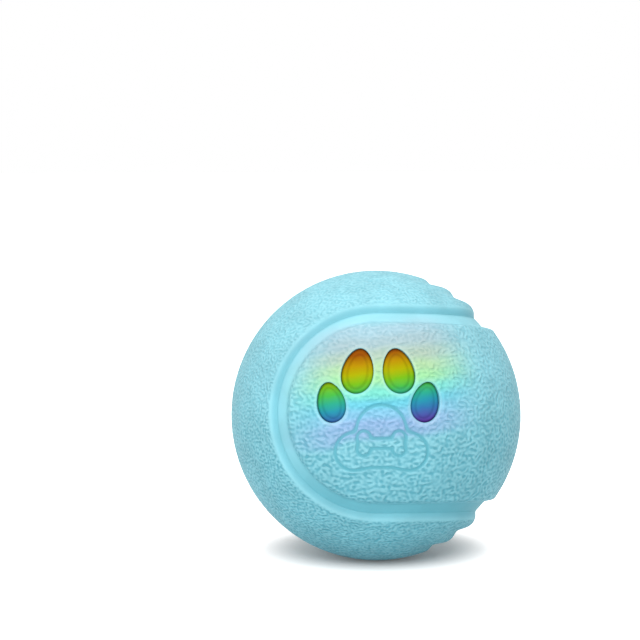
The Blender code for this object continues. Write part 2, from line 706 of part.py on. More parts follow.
def make_core(ball, plastic, seal_finish, steel, guide_finish, toe_tools):
    """The two core halves, the seal between them and the screws that close them."""
    ring_half = RING_THICKNESS / 2 + FIT_GAP
    hole_radius = CORE_SCREW_RADIUS + FIT_GAP
    small_hole = SMALL_SCREW_RADIUS + FIT_GAP
    head_place = CORE_SCREW_HEAD_RADIUS * 3
    for name, side in (("front_core_shell", -1), ("rear_core_shell", 1)):
        shell = add_object(name, core_half(side), plastic, ball)
        bosses = [
            wall_boss(centre, CORE_BOSS_RADIUS, ring_half, side) for centre in screw_places()
        ]
        cutters = []
        for centre in screw_places():
            deep = CORE_SCREW_LENGTH - head_place if side < 0 else head_place + FIT_GAP
            cutters.append(hole(hole_radius, 0, side * deep, centre))
            if side > 0:
                wide = CORE_SCREW_HEAD_RADIUS + FIT_GAP
                cutters.append(hole(wide, head_place, CORE_OUTER, centre))
        if side < 0:
            start = LED_BOARD_PLACE + BOARD_THICKNESS + FIT_GAP
            small_places = led_boss_places()
        else:
            start = BOARD_FRONT_PLACE + FIT_GAP
            small_places = rear_boss_places()
        for centre in small_places:
            bosses.append(wall_boss(centre, SMALL_BOSS_RADIUS, start, side))
            deep = side * (start + SMALL_SCREW_LENGTH - BOARD_THICKNESS)
            cutters.append(hole(small_hole, side * (start - CUT_OVERRUN), deep, centre))
        if side < 0:
            for toe_tool in toe_tools:
                combine(shell, toe_tool, "DIFFERENCE")
        else:
            cut_control_opening(shell, ball, guide_finish)
        for index, boss in enumerate(bosses):
            tool = add_object(f"{name}_boss_{index}", boss, guide_finish, ball, smooth=False)
            combine(shell, tool, "UNION")
        for index, cutter in enumerate(cutters):
            tool = add_object(f"{name}_hole_{index}", cutter, guide_finish, ball, smooth=False)
            combine(shell, tool, "DIFFERENCE")
    seal_outer = CORE_OUTER - SEAL_INSET
    seal = sleeve(
        seal_outer - SEAL_WIDTH,
        seal_outer,
        -SEAL_THICKNESS / 2,
        SEAL_THICKNESS / 2,
        CORE_SEGMENTS,
        "Y",
    )
    add_object("core_seal", seal, seal_finish, ball)
    for number, centre in enumerate(screw_places(), 1):
        make_screw(
            f"core_screw_{number}",
            ball,
            steel,
            centre,
            head_place + FIT_GAP,
            -1,
            "Y",
            CORE_SCREW_RADIUS,
            CORE_SCREW_HEAD_RADIUS,
            CORE_SCREW_HEAD,
            CORE_SCREW_LENGTH,
        )


def make_screw(
    name,
    parent,
    finish,
    centre,
    seat,
    way,
    axis,
    radius=SMALL_SCREW_RADIUS,
    head_radius=SMALL_SCREW_HEAD_RADIUS,
    head=SMALL_SCREW_HEAD,
    length=SMALL_SCREW_LENGTH,
):
    """A pan-head screw that points the given way from its seat."""
    profile = [
        (head_radius * SCREW_CROWN_SHARE, seat - way * head),
        (head_radius, seat - way * head * SCREW_SHOULDER_SHARE),
        (head_radius, seat),
        (radius, seat),
        (radius, seat + way * (length - radius)),
        (radius * SCREW_POINT_SHARE, seat + way * length),
    ]
    return add_object(name, turned(profile, SCREW_SIDES, axis, centre), finish, parent)


# The chassis
def pillar_places():
    """The gearbox pillars, across X."""
    return [
        (share * OUTPUT_REACH * cos(angle), share * OUTPUT_REACH * sin(angle))
        for share, angle in zip(PILLAR_PLACE_SHARES, PILLAR_ANGLES)
    ]


def plate_ends(along):
    """Discs at both ends of a plate, as far out as the core's wall allows."""
    reach = sqrt((RING_OUTER - FIT_GAP) ** 2 - along**2) - PLATE_END_RADIUS
    return [(0, reach, PLATE_END_RADIUS), (0, -reach, PLATE_END_RADIUS)]


def make_chassis(ball, plastic, steel, guide_finish):
    """The frame that carries the drive: a ring in the split, two plates, pillars and a cradle."""
    ring = sleeve(
        RING_INNER, RING_OUTER, -RING_THICKNESS / 2, RING_THICKNESS / 2, CORE_SEGMENTS, "Y"
    )
    chassis = add_object("chassis_frame", ring, plastic, ball)
    pillars = [(first, second, PILLAR_RADIUS * 1.5) for first, second in pillar_places()]
    compound_disc = (*COMPOUND_AXIS, PIN_RADIUS * 4)
    left = hull_plate(
        plate_ends(LEFT_PLATE_LEFT) + pillars + [compound_disc], LEFT_PLATE_LEFT, LEFT_PLATE_RIGHT
    )
    ear_discs = [(*ear, PLATE_END_RADIUS) for ear in holder_ears()]
    right = hull_plate(
        plate_ends(RIGHT_PLATE_RIGHT) + [(0, 0, BEARING_PLATE_WIDTH / 2)] + ear_discs,
        RIGHT_PLATE_LEFT,
        RIGHT_PLATE_RIGHT,
    )
    cradle = sleeve(
        MOTOR_RADIUS + FIT_GAP,
        MOTOR_RADIUS + FIT_GAP + CRADLE_WALL,
        LEFT_PLATE_LEFT - CRADLE_LENGTH,
        LEFT_PLATE_RIGHT - PLATE_THICKNESS / 2,
        WIDE_SIDES,
        "X",
        MOTOR_AXIS,
    )
    additions = [left, right, cradle]
    for centre in pillar_places():
        low = LEFT_PLATE_RIGHT - PLATE_THICKNESS / 2
        high = GEARBOX_COVER_LEFT - FIT_GAP
        pillar = [(PILLAR_RADIUS, low), (PILLAR_RADIUS, high)]
        additions.append(turned(pillar, ROUND_SIDES, "X", centre))
    small_hole = SMALL_SCREW_RADIUS + FIT_GAP
    bush_hole = BUSH_RADIUS + FIT_GAP
    left_low = LEFT_PLATE_LEFT - CUT_OVERRUN / 4
    left_high = LEFT_PLATE_RIGHT + CUT_OVERRUN / 4
    right_low = RIGHT_PLATE_LEFT - SWING_GAP
    right_high = RIGHT_PLATE_RIGHT + CUT_OVERRUN
    cutters = [
        hole(bush_hole, left_low, left_high, (0, 0), "X", ROUND_SIDES),
        hole(bush_hole, right_low, right_high, (0, 0), "X", ROUND_SIDES),
        hole(MOTOR_NOSE_RADIUS + FIT_GAP, left_low, left_high, MOTOR_AXIS, "X"),
        hole(PIN_RADIUS + FIT_GAP, left_low, left_high, COMPOUND_AXIS, "X"),
    ]
    screw_low = GEARBOX_COVER_LEFT - SMALL_SCREW_LENGTH
    for centre in pillar_places():
        cutters.append(hole(small_hole, screw_low, GEARBOX_COVER_LEFT, centre, "X"))
    for centre in holder_ears():
        cutters.append(hole(small_hole, right_low, right_high, centre, "X"))
    core_hole = CORE_SCREW_RADIUS + FIT_GAP
    for centre in screw_places():
        cutters.append(hole(core_hole, -RING_THICKNESS, RING_THICKNESS, centre, "Y"))
    for index, addition in enumerate(additions):
        tool = add_object(f"chassis_join_{index}", addition, guide_finish, ball, smooth=False)
        combine(chassis, tool, "UNION")
    for index, cutter in enumerate(cutters):
        tool = add_object(f"chassis_cutter_{index}", cutter, guide_finish, ball, smooth=False)
        combine(chassis, tool, "DIFFERENCE")

    cover = hull_plate(
        pillars + [compound_disc, (0, 0, BUSH_RADIUS * 2)], GEARBOX_COVER_LEFT, GEARBOX_COVER_RIGHT
    )
    gearbox_cover = add_object("gearbox_cover", cover, plastic, ball)
    low = GEARBOX_COVER_LEFT - CUT_OVERRUN / 4
    high = GEARBOX_COVER_RIGHT + CUT_OVERRUN / 4
    holes = [
        hole(SHAFT_RADIUS + FIT_GAP, low, high, (0, 0), "X", ROUND_SIDES),
        hole(PIN_RADIUS + FIT_GAP, low, high, COMPOUND_AXIS, "X"),
    ]
    holes += [hole(small_hole, low, high, centre, "X") for centre in pillar_places()]
    tool = add_object("gearbox_cover_cutter", merge(holes), guide_finish, ball, smooth=False)
    combine(gearbox_cover, tool, "DIFFERENCE")
    for number, centre in enumerate(pillar_places(), 1):
        make_screw(
            f"gearbox_screw_{number}",
            ball,
            steel,
            centre,
            GEARBOX_COVER_RIGHT + LAYER_GAP / 2,
            -1,
            "X",
            head=SWING_GAP / 2,
        )


# The drive
def involute(angle):
    """The involute function."""
    return tan(angle) - angle


def gear_outline(teeth, turn):
    """Outline of a spur gear with a tooth centred on the turn angle, across X."""
    pitch = GEAR_MODULE * teeth / 2
    base = pitch * cos(PRESSURE_ANGLE)
    root = pitch - DEDENDUM_SHARE * GEAR_MODULE
    tip = pitch + ADDENDUM_SHARE * GEAR_MODULE
    half_pitch_angle = pi / 2 / teeth - GEAR_BACKLASH / 4 / pitch
    flank = []
    for radius in (root, pitch, tip):
        pressure = acos(min(1, base / radius))
        angle = half_pitch_angle + involute(PRESSURE_ANGLE) - involute(pressure)
        flank.append((radius, angle))
    outline = []
    for tooth in range(teeth):
        middle = turn + 2 * pi * tooth / teeth
        for radius, angle in flank:
            outline.append((radius * cos(middle - angle), radius * sin(middle - angle)))
        for radius, angle in reversed(flank):
            outline.append((radius * cos(middle + angle), radius * sin(middle + angle)))
    return outline


def gear_turns():
    """Turn angle of each gear, so that every pair is in mesh at rest."""
    toward_compound = atan2(COMPOUND_AXIS[1], COMPOUND_AXIS[0])
    from_motor = atan2(COMPOUND_AXIS[1] - MOTOR_AXIS[1], COMPOUND_AXIS[0] - MOTOR_AXIS[0])
    return {
        "output": toward_compound,
        "small": toward_compound + pi + pi / SMALL_TEETH,
        "pinion": from_motor,
        "large": from_motor + pi + pi / LARGE_TEETH,
    }


def make_drive(ball, guides, finishes, guide_finish):
    """Motor, gears, shaft, bushes and the weight that swings."""
    weight_axis, hang, compound_axis, motor_axis = guides
    steel, brass, white, dark = finishes
    turns = gear_turns()
    bush_hole = SHAFT_RADIUS + SHAFT_RUNNING_GAP
    for name, low, high in (
        ("left_bush", LEFT_PLATE_LEFT, LEFT_PLATE_RIGHT),
        ("right_bush", RIGHT_PLATE_LEFT, RIGHT_PLATE_RIGHT),
    ):
        bush = sleeve(bush_hole, BUSH_RADIUS, low + LAYER_GAP / 4, high - LAYER_GAP / 4, ROUND_SIDES)
        add_object(name, bush, brass, ball)
    shaft = turned(
        [
            (SHAFT_RADIUS * SHAFT_END_SHARE, LEFT_PLATE_LEFT + LAYER_GAP / 2),
            (SHAFT_RADIUS, LEFT_PLATE_LEFT + LAYER_GAP),
            (SHAFT_RADIUS, RIGHT_PLATE_RIGHT - LAYER_GAP),
            (SHAFT_RADIUS * SHAFT_END_SHARE, RIGHT_PLATE_RIGHT - LAYER_GAP / 2),
        ],
        ROUND_SIDES,
    )
    add_object("main_shaft", shaft, steel, weight_axis)

    outline = gear_outline(OUTPUT_TEETH, turns["output"])
    output = prism(outline, SECOND_LAYER_LEFT, SECOND_LAYER_RIGHT, "X")
    output_gear = add_object("output_gear", output, white, weight_axis, smooth=False)
    web_outer = OUTPUT_REACH - GEAR_MODULE * 4
    web_inner = SHAFT_RADIUS * 3
    low = SECOND_LAYER_LEFT - GEAR_FACE
    high = SECOND_LAYER_RIGHT + GEAR_FACE
    webs = []
    for index in range(GEAR_WINDOWS):
        angle = 2 * pi * index / GEAR_WINDOWS
        radius = (web_outer - web_inner) / 2 * GEAR_WINDOW_SHARE
        reach = (web_outer + web_inner) / 2
        centre = (reach * cos(angle), reach * sin(angle))
        webs.append(hole(radius, low, high, centre, "X"))
    webs.append(hole(SHAFT_RADIUS + FIT_GAP, low, high, (0, 0), "X", ROUND_SIDES))
    tool = add_object("output_gear_cutter", merge(webs), guide_finish, weight_axis, smooth=False)
    combine(output_gear, tool, "DIFFERENCE")

    outline = gear_outline(LARGE_TEETH, turns["large"])
    large = prism(outline, FIRST_LAYER_LEFT, FIRST_LAYER_RIGHT, "X")
    compound = add_object("compound_gear", large, white, compound_axis, smooth=False)
    small = prism(
        gear_outline(SMALL_TEETH, turns["small"]),
        FIRST_LAYER_LEFT + GEAR_FACE / 2,
        SECOND_LAYER_RIGHT,
        "X",
    )
    tool = add_object("compound_join", small, guide_finish, compound_axis, smooth=False)
    combine(compound, tool, "UNION")
    pin_hole = hole(
        PIN_RADIUS + SHAFT_RUNNING_GAP,
        FIRST_LAYER_LEFT - GEAR_FACE,
        SECOND_LAYER_RIGHT + GEAR_FACE,
        (0, 0),
        "X",
    )
    tool = add_object("compound_cutter", pin_hole, guide_finish, compound_axis, smooth=False)
    combine(compound, tool, "DIFFERENCE")
    pin = turned(
        [(PIN_RADIUS, LEFT_PLATE_LEFT), (PIN_RADIUS, GEARBOX_COVER_RIGHT)],
        SCREW_SIDES,
        "X",
        COMPOUND_AXIS,
    )
    add_object("compound_gear_pin", pin, steel, ball)

    can_right = LEFT_PLATE_LEFT - FIT_GAP
    can_left = can_right - MOTOR_LENGTH
    can = turned(
        [
            (MOTOR_NOSE_RADIUS, can_left - LAYER_GAP * 2),
            (MOTOR_NOSE_RADIUS, can_left),
            (MOTOR_RADIUS - LAYER_GAP, can_left),
            (MOTOR_RADIUS, can_left + LAYER_GAP),
            (MOTOR_RADIUS, can_right),
            (MOTOR_NOSE_RADIUS, can_right),
            (MOTOR_NOSE_RADIUS, can_right + PLATE_THICKNESS),
        ],
        WIDE_SIDES,
        "X",
        MOTOR_AXIS,
    )
    motor = add_object("motor", can, steel, ball)
    shaft_hole = hole(
        MOTOR_SHAFT_RADIUS + FIT_GAP,
        can_right - MOTOR_LENGTH / 3,
        can_right + PLATE_THICKNESS * 2,
        MOTOR_AXIS,
        "X",
    )
    tool = add_object("motor_cutter", shaft_hole, guide_finish, ball, smooth=False)
    combine(motor, tool, "DIFFERENCE")
    outline = gear_outline(PINION_TEETH, turns["pinion"])
    pinion = prism(outline, FIRST_LAYER_LEFT, FIRST_LAYER_RIGHT, "X")
    motor_pinion = add_object("motor_pinion", pinion, brass, motor_axis, smooth=False)
    motor_shaft = turned(
        [
            (MOTOR_SHAFT_RADIUS, can_right - MOTOR_LENGTH / 3 + FIT_GAP),
            (MOTOR_SHAFT_RADIUS, FIRST_LAYER_LEFT + GEAR_FACE / 2),
        ],
        SCREW_SIDES,
    )
    tool = add_object("motor_shaft_join", motor_shaft, guide_finish, motor_axis, smooth=False)
    combine(motor_pinion, tool, "UNION")

    outline = weight_outline()
    weight_mesh = prism(outline, WEIGHT_LEFT, WEIGHT_RIGHT, "X")
    weight = add_object("eccentric_weight", weight_mesh, dark, hang, smooth=False)
    chamfer = weight.modifiers.new("Chamfer", "BEVEL")
    chamfer.width = WEIGHT_CHAMFER
    chamfer.segments = 1
    chamfer.limit_method = "ANGLE"
    chamfer.angle_limit = radians(50)
    set_hole = SET_SCREW_RADIUS + FIT_GAP
    middle = (WEIGHT_LEFT + WEIGHT_RIGHT) / 2
    low = WEIGHT_LEFT - GEAR_FACE
    high = WEIGHT_RIGHT + GEAR_FACE
    bore = hole(SHAFT_RADIUS + FIT_GAP, low, high, (0, 0), "X", ROUND_SIDES)
    screw_hole = hole(set_hole, SHAFT_RADIUS, WEIGHT_HUB_RADIUS * 2, (middle, 0), "Z")
    for name, cutter in (("weight_bore", bore), ("weight_screw_hole", screw_hole)):
        tool = add_object(name, cutter, guide_finish, hang, smooth=False)
        combine(weight, tool, "DIFFERENCE")
    low = SHAFT_RADIUS + FIT_GAP
    set_screw = turned(
        [
            (SET_SCREW_RADIUS * 0.5, low),
            (SET_SCREW_RADIUS, low + SET_SCREW_RADIUS * 0.4),
            (SET_SCREW_RADIUS, low + SET_SCREW_LENGTH),
        ],
        SCREW_SIDES,
        "Z",
        (middle, 0),
    )
    add_object("weight_set_screw", set_screw, steel, hang)


def weight_outline():
    """Fan-shaped outline of the weight across X: a round hub, and a wide arc that hangs down."""
    outline = []
    for index in range(WEIGHT_ARC_STEPS + 1):
        angle = -pi / 2 + WEIGHT_HALF_ANGLE * (2 * index / WEIGHT_ARC_STEPS - 1)
        outline.append((WEIGHT_RADIUS * cos(angle), WEIGHT_RADIUS * sin(angle)))
    for index in range(WEIGHT_HUB_STEPS + 1):
        angle = WEIGHT_HUB_START + (pi - 2 * WEIGHT_HUB_START) * index / WEIGHT_HUB_STEPS
        outline.append((WEIGHT_HUB_RADIUS * cos(angle), WEIGHT_HUB_RADIUS * sin(angle)))
    return outline


# The battery
def holder_ears():
    """The ears of the battery holder, across X: lower and upper."""
    reach = BATTERY_WIDTH / 2 + FIT_GAP + HOLDER_WALL + HOLDER_EAR_RADIUS * HOLDER_EAR_SHARE
    return [(0, -BATTERY_DROP - reach), (0, -BATTERY_DROP + reach)]


def make_battery(ball, plastic, foil, steel, guide_finish):
    """The battery cell in its open tray, screwed to the bearing plate."""
    corner = HOLDER_WALL * 2
    inner_width = BATTERY_WIDTH + 2 * FIT_GAP
    centre = (0, -BATTERY_DROP)
    outer = rounded_rectangle(
        inner_width + 2 * HOLDER_WALL, inner_width + 2 * HOLDER_WALL, corner + HOLDER_WALL, centre
    )
    tray = prism(outer, HOLDER_LEFT, HOLDER_LEFT + HOLDER_DEPTH, "X")
    holder = add_object("battery_holder", tray, plastic, ball)
    ears = hull_plate(
        [(*ear, HOLDER_EAR_RADIUS) for ear in holder_ears()], HOLDER_LEFT, HOLDER_LEFT + HOLDER_WALL
    )
    tool = add_object("holder_ears", ears, guide_finish, ball, smooth=False)
    combine(holder, tool, "UNION")
    pocket = prism(
        rounded_rectangle(inner_width, inner_width, corner, centre),
        HOLDER_LEFT + HOLDER_WALL,
        HOLDER_LEFT + HOLDER_DEPTH + CUT_OVERRUN,
        "X",
    )
    window = prism(
        rounded_rectangle(inner_width / 3, inner_width / 2, corner, centre),
        HOLDER_LEFT - CUT_OVERRUN,
        HOLDER_LEFT + HOLDER_WALL * 2,
        "X",
    )
    tool = add_object("holder_pocket", pocket, guide_finish, ball, smooth=False)
    combine(holder, tool, "DIFFERENCE")
    tool = add_object("holder_window", window, guide_finish, ball, smooth=False)
    combine(holder, tool, "DIFFERENCE")
    radius = SMALL_SCREW_RADIUS + FIT_GAP
    low = HOLDER_LEFT - CUT_OVERRUN
    high = HOLDER_LEFT + CUT_OVERRUN
    holes = [hole(radius, low, high, ear, "X") for ear in holder_ears()]
    tool = add_object("holder_holes", merge(holes), guide_finish, ball, smooth=False)
    combine(holder, tool, "DIFFERENCE")
    cell = prism(
        rounded_rectangle(BATTERY_WIDTH, BATTERY_WIDTH, corner, centre),
        BATTERY_LEFT,
        BATTERY_LEFT + BATTERY_THICKNESS,
        "X",
    )
    battery = add_object("battery_cell", cell, foil, ball)
    soften = battery.modifiers.new("Soften", "BEVEL")
    soften.width = HOLDER_WALL
    soften.segments = 2
    soften.limit_method = "ANGLE"
    soften.angle_limit = radians(60)
    for number, ear in enumerate(holder_ears(), 1):
        make_screw(
            f"battery_holder_screw_{number}",
            ball,
            steel,
            ear,
            HOLDER_LEFT + HOLDER_WALL + FIT_GAP,
            -1,
            "X",
            length=HOLDER_WALL + FIT_GAP * 2 + PLATE_THICKNESS,
        )


# The lights
def make_lights(ball, board_finish, led_finish, steel, guide_finish):
    """A round board behind the toes, with one light for each toe."""
    board_mesh = turned(
        [(LED_BOARD_RADIUS, LED_BOARD_FRONT), (LED_BOARD_RADIUS, -LED_BOARD_PLACE)], WIDE_SIDES, "Y"
    )
    board = add_object("led_board", board_mesh, board_finish, ball)
    low = LED_BOARD_FRONT - BOARD_THICKNESS
    holes = [
        hole(SMALL_SCREW_RADIUS + FIT_GAP, low, 0, centre) for centre in led_boss_places()
    ]
    tool = add_object("led_board_holes", merge(holes), guide_finish, ball, smooth=False)
    combine(board, tool, "DIFFERENCE")
    front = LED_BOARD_FRONT - FIT_GAP / 3
    for number, toe in enumerate(toe_list(), 1):
        outward = toe_frame(toe).to_3x3().col[2]
        scale = (LED_BOARD_FRONT - LED_HEIGHT) / outward.y
        centre = (outward.x * scale, outward.z * scale)
        outline = rounded_rectangle(LED_WIDTH, LED_WIDTH, LED_WIDTH / 10, centre, 1)
        dome_width = LED_WIDTH * LED_DOME_SHARE
        dome = rounded_rectangle(dome_width, dome_width, LED_WIDTH / 10, centre, 1)
        rings = []
        for shape, along in (
            (outline, front),
            (outline, front - LED_HEIGHT * LED_WALL_SHARE),
            (dome, front - LED_HEIGHT),
        ):
            rings.append([(x, along, z) for x, z in shape])
        add_object(f"toe_led_{number}", loft(rings), led_finish, ball, smooth=False)
    for number, centre in enumerate(led_boss_places(), 1):
        seat = -LED_BOARD_PLACE + FIT_GAP
        make_screw(f"led_board_screw_{number}", ball, steel, centre, seat, -1, "Y")


# The rear controls
def make_controls(ball, button_axis, flap_axis, finishes, guide_finish):
    """The flat plate in the rear recess, with its button, charging socket and flap."""
    plastic, button_finish, steel, board_finish, rubber, brass = finishes
    outline = rounded_rectangle(CONTROL_WIDTH, CONTROL_HEIGHT, CONTROL_CORNER)
    plate_mesh = prism(outline, PLATE_BACK_PLACE, CONTROL_FACE_PLACE, "Y")
    plate = add_object("control_plate", plate_mesh, plastic, ball)
    lip_corner = CONTROL_CORNER - LIP_WALL - FIT_GAP
    lip_outer = rounded_rectangle(
        OPENING_WIDTH - 2 * FIT_GAP, OPENING_HEIGHT - 2 * FIT_GAP, lip_corner
    )
    lip_inner = rounded_rectangle(
        OPENING_WIDTH - 2 * (FIT_GAP + LIP_WALL),
        OPENING_HEIGHT - 2 * (FIT_GAP + LIP_WALL),
        lip_corner - LIP_WALL / 2,
    )
    lip = frame_prism(
        lip_outer,
        lip_inner,
        PLATE_BACK_PLACE - LIP_DEPTH,
        PLATE_BACK_PLACE + CONTROL_THICKNESS / 2,
        "Y",
    )
    tool = add_object("plate_lip", lip, guide_finish, ball, smooth=False)
    combine(plate, tool, "UNION")
    low = PLATE_BACK_PLACE - CUT_OVERRUN
    high = CONTROL_FACE_PLACE + CUT_OVERRUN
    port = rounded_rectangle(
        USB_WIDTH + 2 * FIT_GAP, USB_HEIGHT + 2 * FIT_GAP, USB_HEIGHT / 2, (USB_PLACE, 0)
    )
    groove = turned(
        [
            (FLAP_BEAD_RADIUS + FIT_GAP, -FLAP_WIDTH / 2 - FIT_GAP),
            (FLAP_BEAD_RADIUS + FIT_GAP, FLAP_WIDTH / 2 + FIT_GAP),
        ],
        ROUND_SIDES,
        "Z",
        (FLAP_HINGE_PLACE, FLAP_HINGE_HEIGHT),
    )
    cutters = [
        prism(port, low, high, "Y"),
        hole(BUTTON_RADIUS + FIT_GAP, low, high, (BUTTON_PLACE, 0), "Y", WIDE_SIDES),
        groove,
    ]
    tool = add_object("plate_cutter", merge(cutters), guide_finish, ball, smooth=False)
    combine(plate, tool, "DIFFERENCE")

    stem_end = SWITCH_TOP_PLACE + BUTTON_TRAVEL + FIT_GAP / 3
    flange_top = PLATE_BACK_PLACE - FIT_GAP
    face = CONTROL_FACE_PLACE + BUTTON_RISE
    button = turned(
        [
            (BUTTON_STEM_RADIUS, stem_end),
            (BUTTON_STEM_RADIUS, flange_top - BUTTON_FLANGE_HEIGHT),
            (BUTTON_RADIUS + BUTTON_FLANGE, flange_top - BUTTON_FLANGE_HEIGHT),
            (BUTTON_RADIUS + BUTTON_FLANGE, flange_top),
            (BUTTON_RADIUS, flange_top),
            (BUTTON_RADIUS, face - BUTTON_RISE / 3),
            (BUTTON_RADIUS - BUTTON_RISE / 3, face),
        ],
        WIDE_SIDES,
        "Y",
    )
    add_object("power_button", button, button_finish, button_axis)

    switch_low = BOARD_FRONT_PLACE + FIT_GAP / 3
    body = rounded_rectangle(SWITCH_WIDTH, SWITCH_WIDTH, SWITCH_WIDTH / 12, (BUTTON_PLACE, 0), 1)
    switch = add_object(
        "power_switch",
        prism(body, switch_low, switch_low + SWITCH_HEIGHT, "Y"),
        steel,
        ball,
        smooth=False,
    )
    plunger = turned(
        [
            (SWITCH_PLUNGER_RADIUS, switch_low + SWITCH_HEIGHT / 2),
            (SWITCH_PLUNGER_RADIUS, SWITCH_TOP_PLACE),
        ],
        SCREW_SIDES,
        "Y",
        (BUTTON_PLACE, 0),
    )
    tool = add_object("switch_plunger", plunger, guide_finish, ball, smooth=False)
    combine(switch, tool, "UNION")

    mouth = CONTROL_FACE_PLACE - USB_RECESS
    corner = USB_HEIGHT * USB_CORNER_SHARE
    socket_outer = rounded_rectangle(USB_WIDTH, USB_HEIGHT, corner, (USB_PLACE, 0))
    socket_mesh = prism(socket_outer, BOARD_FRONT_PLACE + FIT_GAP / 3, mouth, "Y")
    socket = add_object("usb_socket", socket_mesh, steel, ball)
    inner = rounded_rectangle(
        USB_WIDTH - 2 * USB_WALL,
        USB_HEIGHT - 2 * USB_WALL,
        corner - USB_WALL,
        (USB_PLACE, 0),
    )
    throat = prism(inner, mouth - USB_DEPTH, mouth + CUT_OVERRUN, "Y")
    tool = add_object("socket_throat", throat, guide_finish, ball, smooth=False)
    combine(socket, tool, "DIFFERENCE")
    blade = rounded_rectangle(
        USB_WIDTH * USB_TONGUE_SHARE,
        USB_TONGUE_THICKNESS,
        USB_TONGUE_THICKNESS / 4,
        (USB_PLACE, 0),
        1,
    )
    tongue = prism(blade, mouth - USB_DEPTH - USB_WALL, mouth - USB_WALL * 4, "Y")
    tool = add_object("socket_tongue", tongue, guide_finish, ball, smooth=False)
    combine(socket, tool, "UNION")

    board_mesh = prism(
        rounded_rectangle(CONTROL_BOARD_WIDTH, CONTROL_BOARD_HEIGHT, BOARD_THICKNESS * 2),
        CONTROL_BOARD_PLACE,
        BOARD_FRONT_PLACE,
        "Y",
    )
    board = add_object("control_board", board_mesh, board_finish, ball)
    holes = [
        hole(SMALL_SCREW_RADIUS + FIT_GAP, 0, BOARD_FRONT_PLACE + BOARD_THICKNESS, centre)
        for centre in rear_boss_places()
    ]
    tool = add_object("control_board_holes", merge(holes), guide_finish, ball, smooth=False)
    combine(board, tool, "DIFFERENCE")
    for number, centre in enumerate(rear_boss_places(), 1):
        seat = CONTROL_BOARD_PLACE - FIT_GAP
        make_screw(f"control_board_screw_{number}", ball, steel, centre, seat, 1, "Y")
    sensor_low = BOARD_FRONT_PLACE + FIT_GAP / 3
    sensor_centre = (USB_PLACE, -SENSOR_PLACE)
    sensor = turned(
        [
            (SENSOR_RADIUS, sensor_low),
            (SENSOR_RADIUS, sensor_low + SENSOR_LENGTH - SENSOR_RADIUS / 4),
            (SENSOR_RADIUS * SENSOR_CROWN_SHARE, sensor_low + SENSOR_LENGTH),
        ],
        ROUND_SIDES,
        "Y",
        sensor_centre,
    )
    add_object("vibration_sensor", sensor, brass, ball)

    make_flap(flap_axis, rubber, guide_finish)


def make_flap(flap_axis, rubber, guide_finish):
    """The soft flap over the charging socket, in its own frame on the hinge bead."""
    low = CONTROL_FACE_PLACE + FIT_GAP - FLAP_HINGE_HEIGHT
    start = FLAP_BEAD_RADIUS * FLAP_START_SHARE
    outline = rounded_rectangle(
        FLAP_LENGTH - start, FLAP_WIDTH, FLAP_WIDTH / 4, ((FLAP_LENGTH + start) / 2, 0)
    )
    sheet = prism(outline, low, low + FLAP_THICKNESS, "Y")
    flap = add_object("port_flap", sheet, rubber, flap_axis)
    half = FLAP_WIDTH / 2
    end_radius = FLAP_BEAD_RADIUS * FLAP_BEAD_END_SHARE
    chamfer = FLAP_BEAD_RADIUS * FLAP_BEAD_CHAMFER_SHARE
    bead = turned(
        [
            (end_radius, -half),
            (FLAP_BEAD_RADIUS, -half + chamfer),
            (FLAP_BEAD_RADIUS, half - chamfer),
            (end_radius, half),
        ],
        ROUND_SIDES,
        "Z",
    )
    web = prism(
        rounded_rectangle(half, FLAP_WIDTH * FLAP_WEB_SHARE, FLAP_LIP, (half / 2, 0), 1),
        low + FLAP_THICKNESS * FLAP_WEB_LOW_SHARE,
        low + FLAP_THICKNESS * FLAP_WEB_HIGH_SHARE,
        "Y",
    )
    centre = USB_PLACE - FLAP_HINGE_PLACE
    plug_width = USB_WIDTH * FLAP_PLUG_WIDTH_SHARE
    plug_height = USB_HEIGHT * FLAP_PLUG_HEIGHT_SHARE
    plug_outline = rounded_rectangle(plug_width, plug_height, plug_height * 0.4, (centre, 0), 2)
    plug = prism(plug_outline, low - FLAP_PLUG_DEPTH, low + FLAP_THICKNESS / 2, "Y")
    tab_centre = (FLAP_LENGTH - FLAP_LIP, 0)
    tab_outline = rounded_rectangle(FLAP_LIP * 2, half, FLAP_LIP * 0.9, tab_centre, 2)
    tab = prism(tab_outline, low + FLAP_THICKNESS / 2, low + FLAP_THICKNESS + FLAP_LIP, "Y")
    extras = {"flap_bead": bead, "flap_web": web, "flap_plug": plug, "flap_tab": tab}
    for name, mesh in extras.items():
        tool = add_object(name, mesh, guide_finish, flap_axis, smooth=False)
        combine(flap, tool, "UNION")


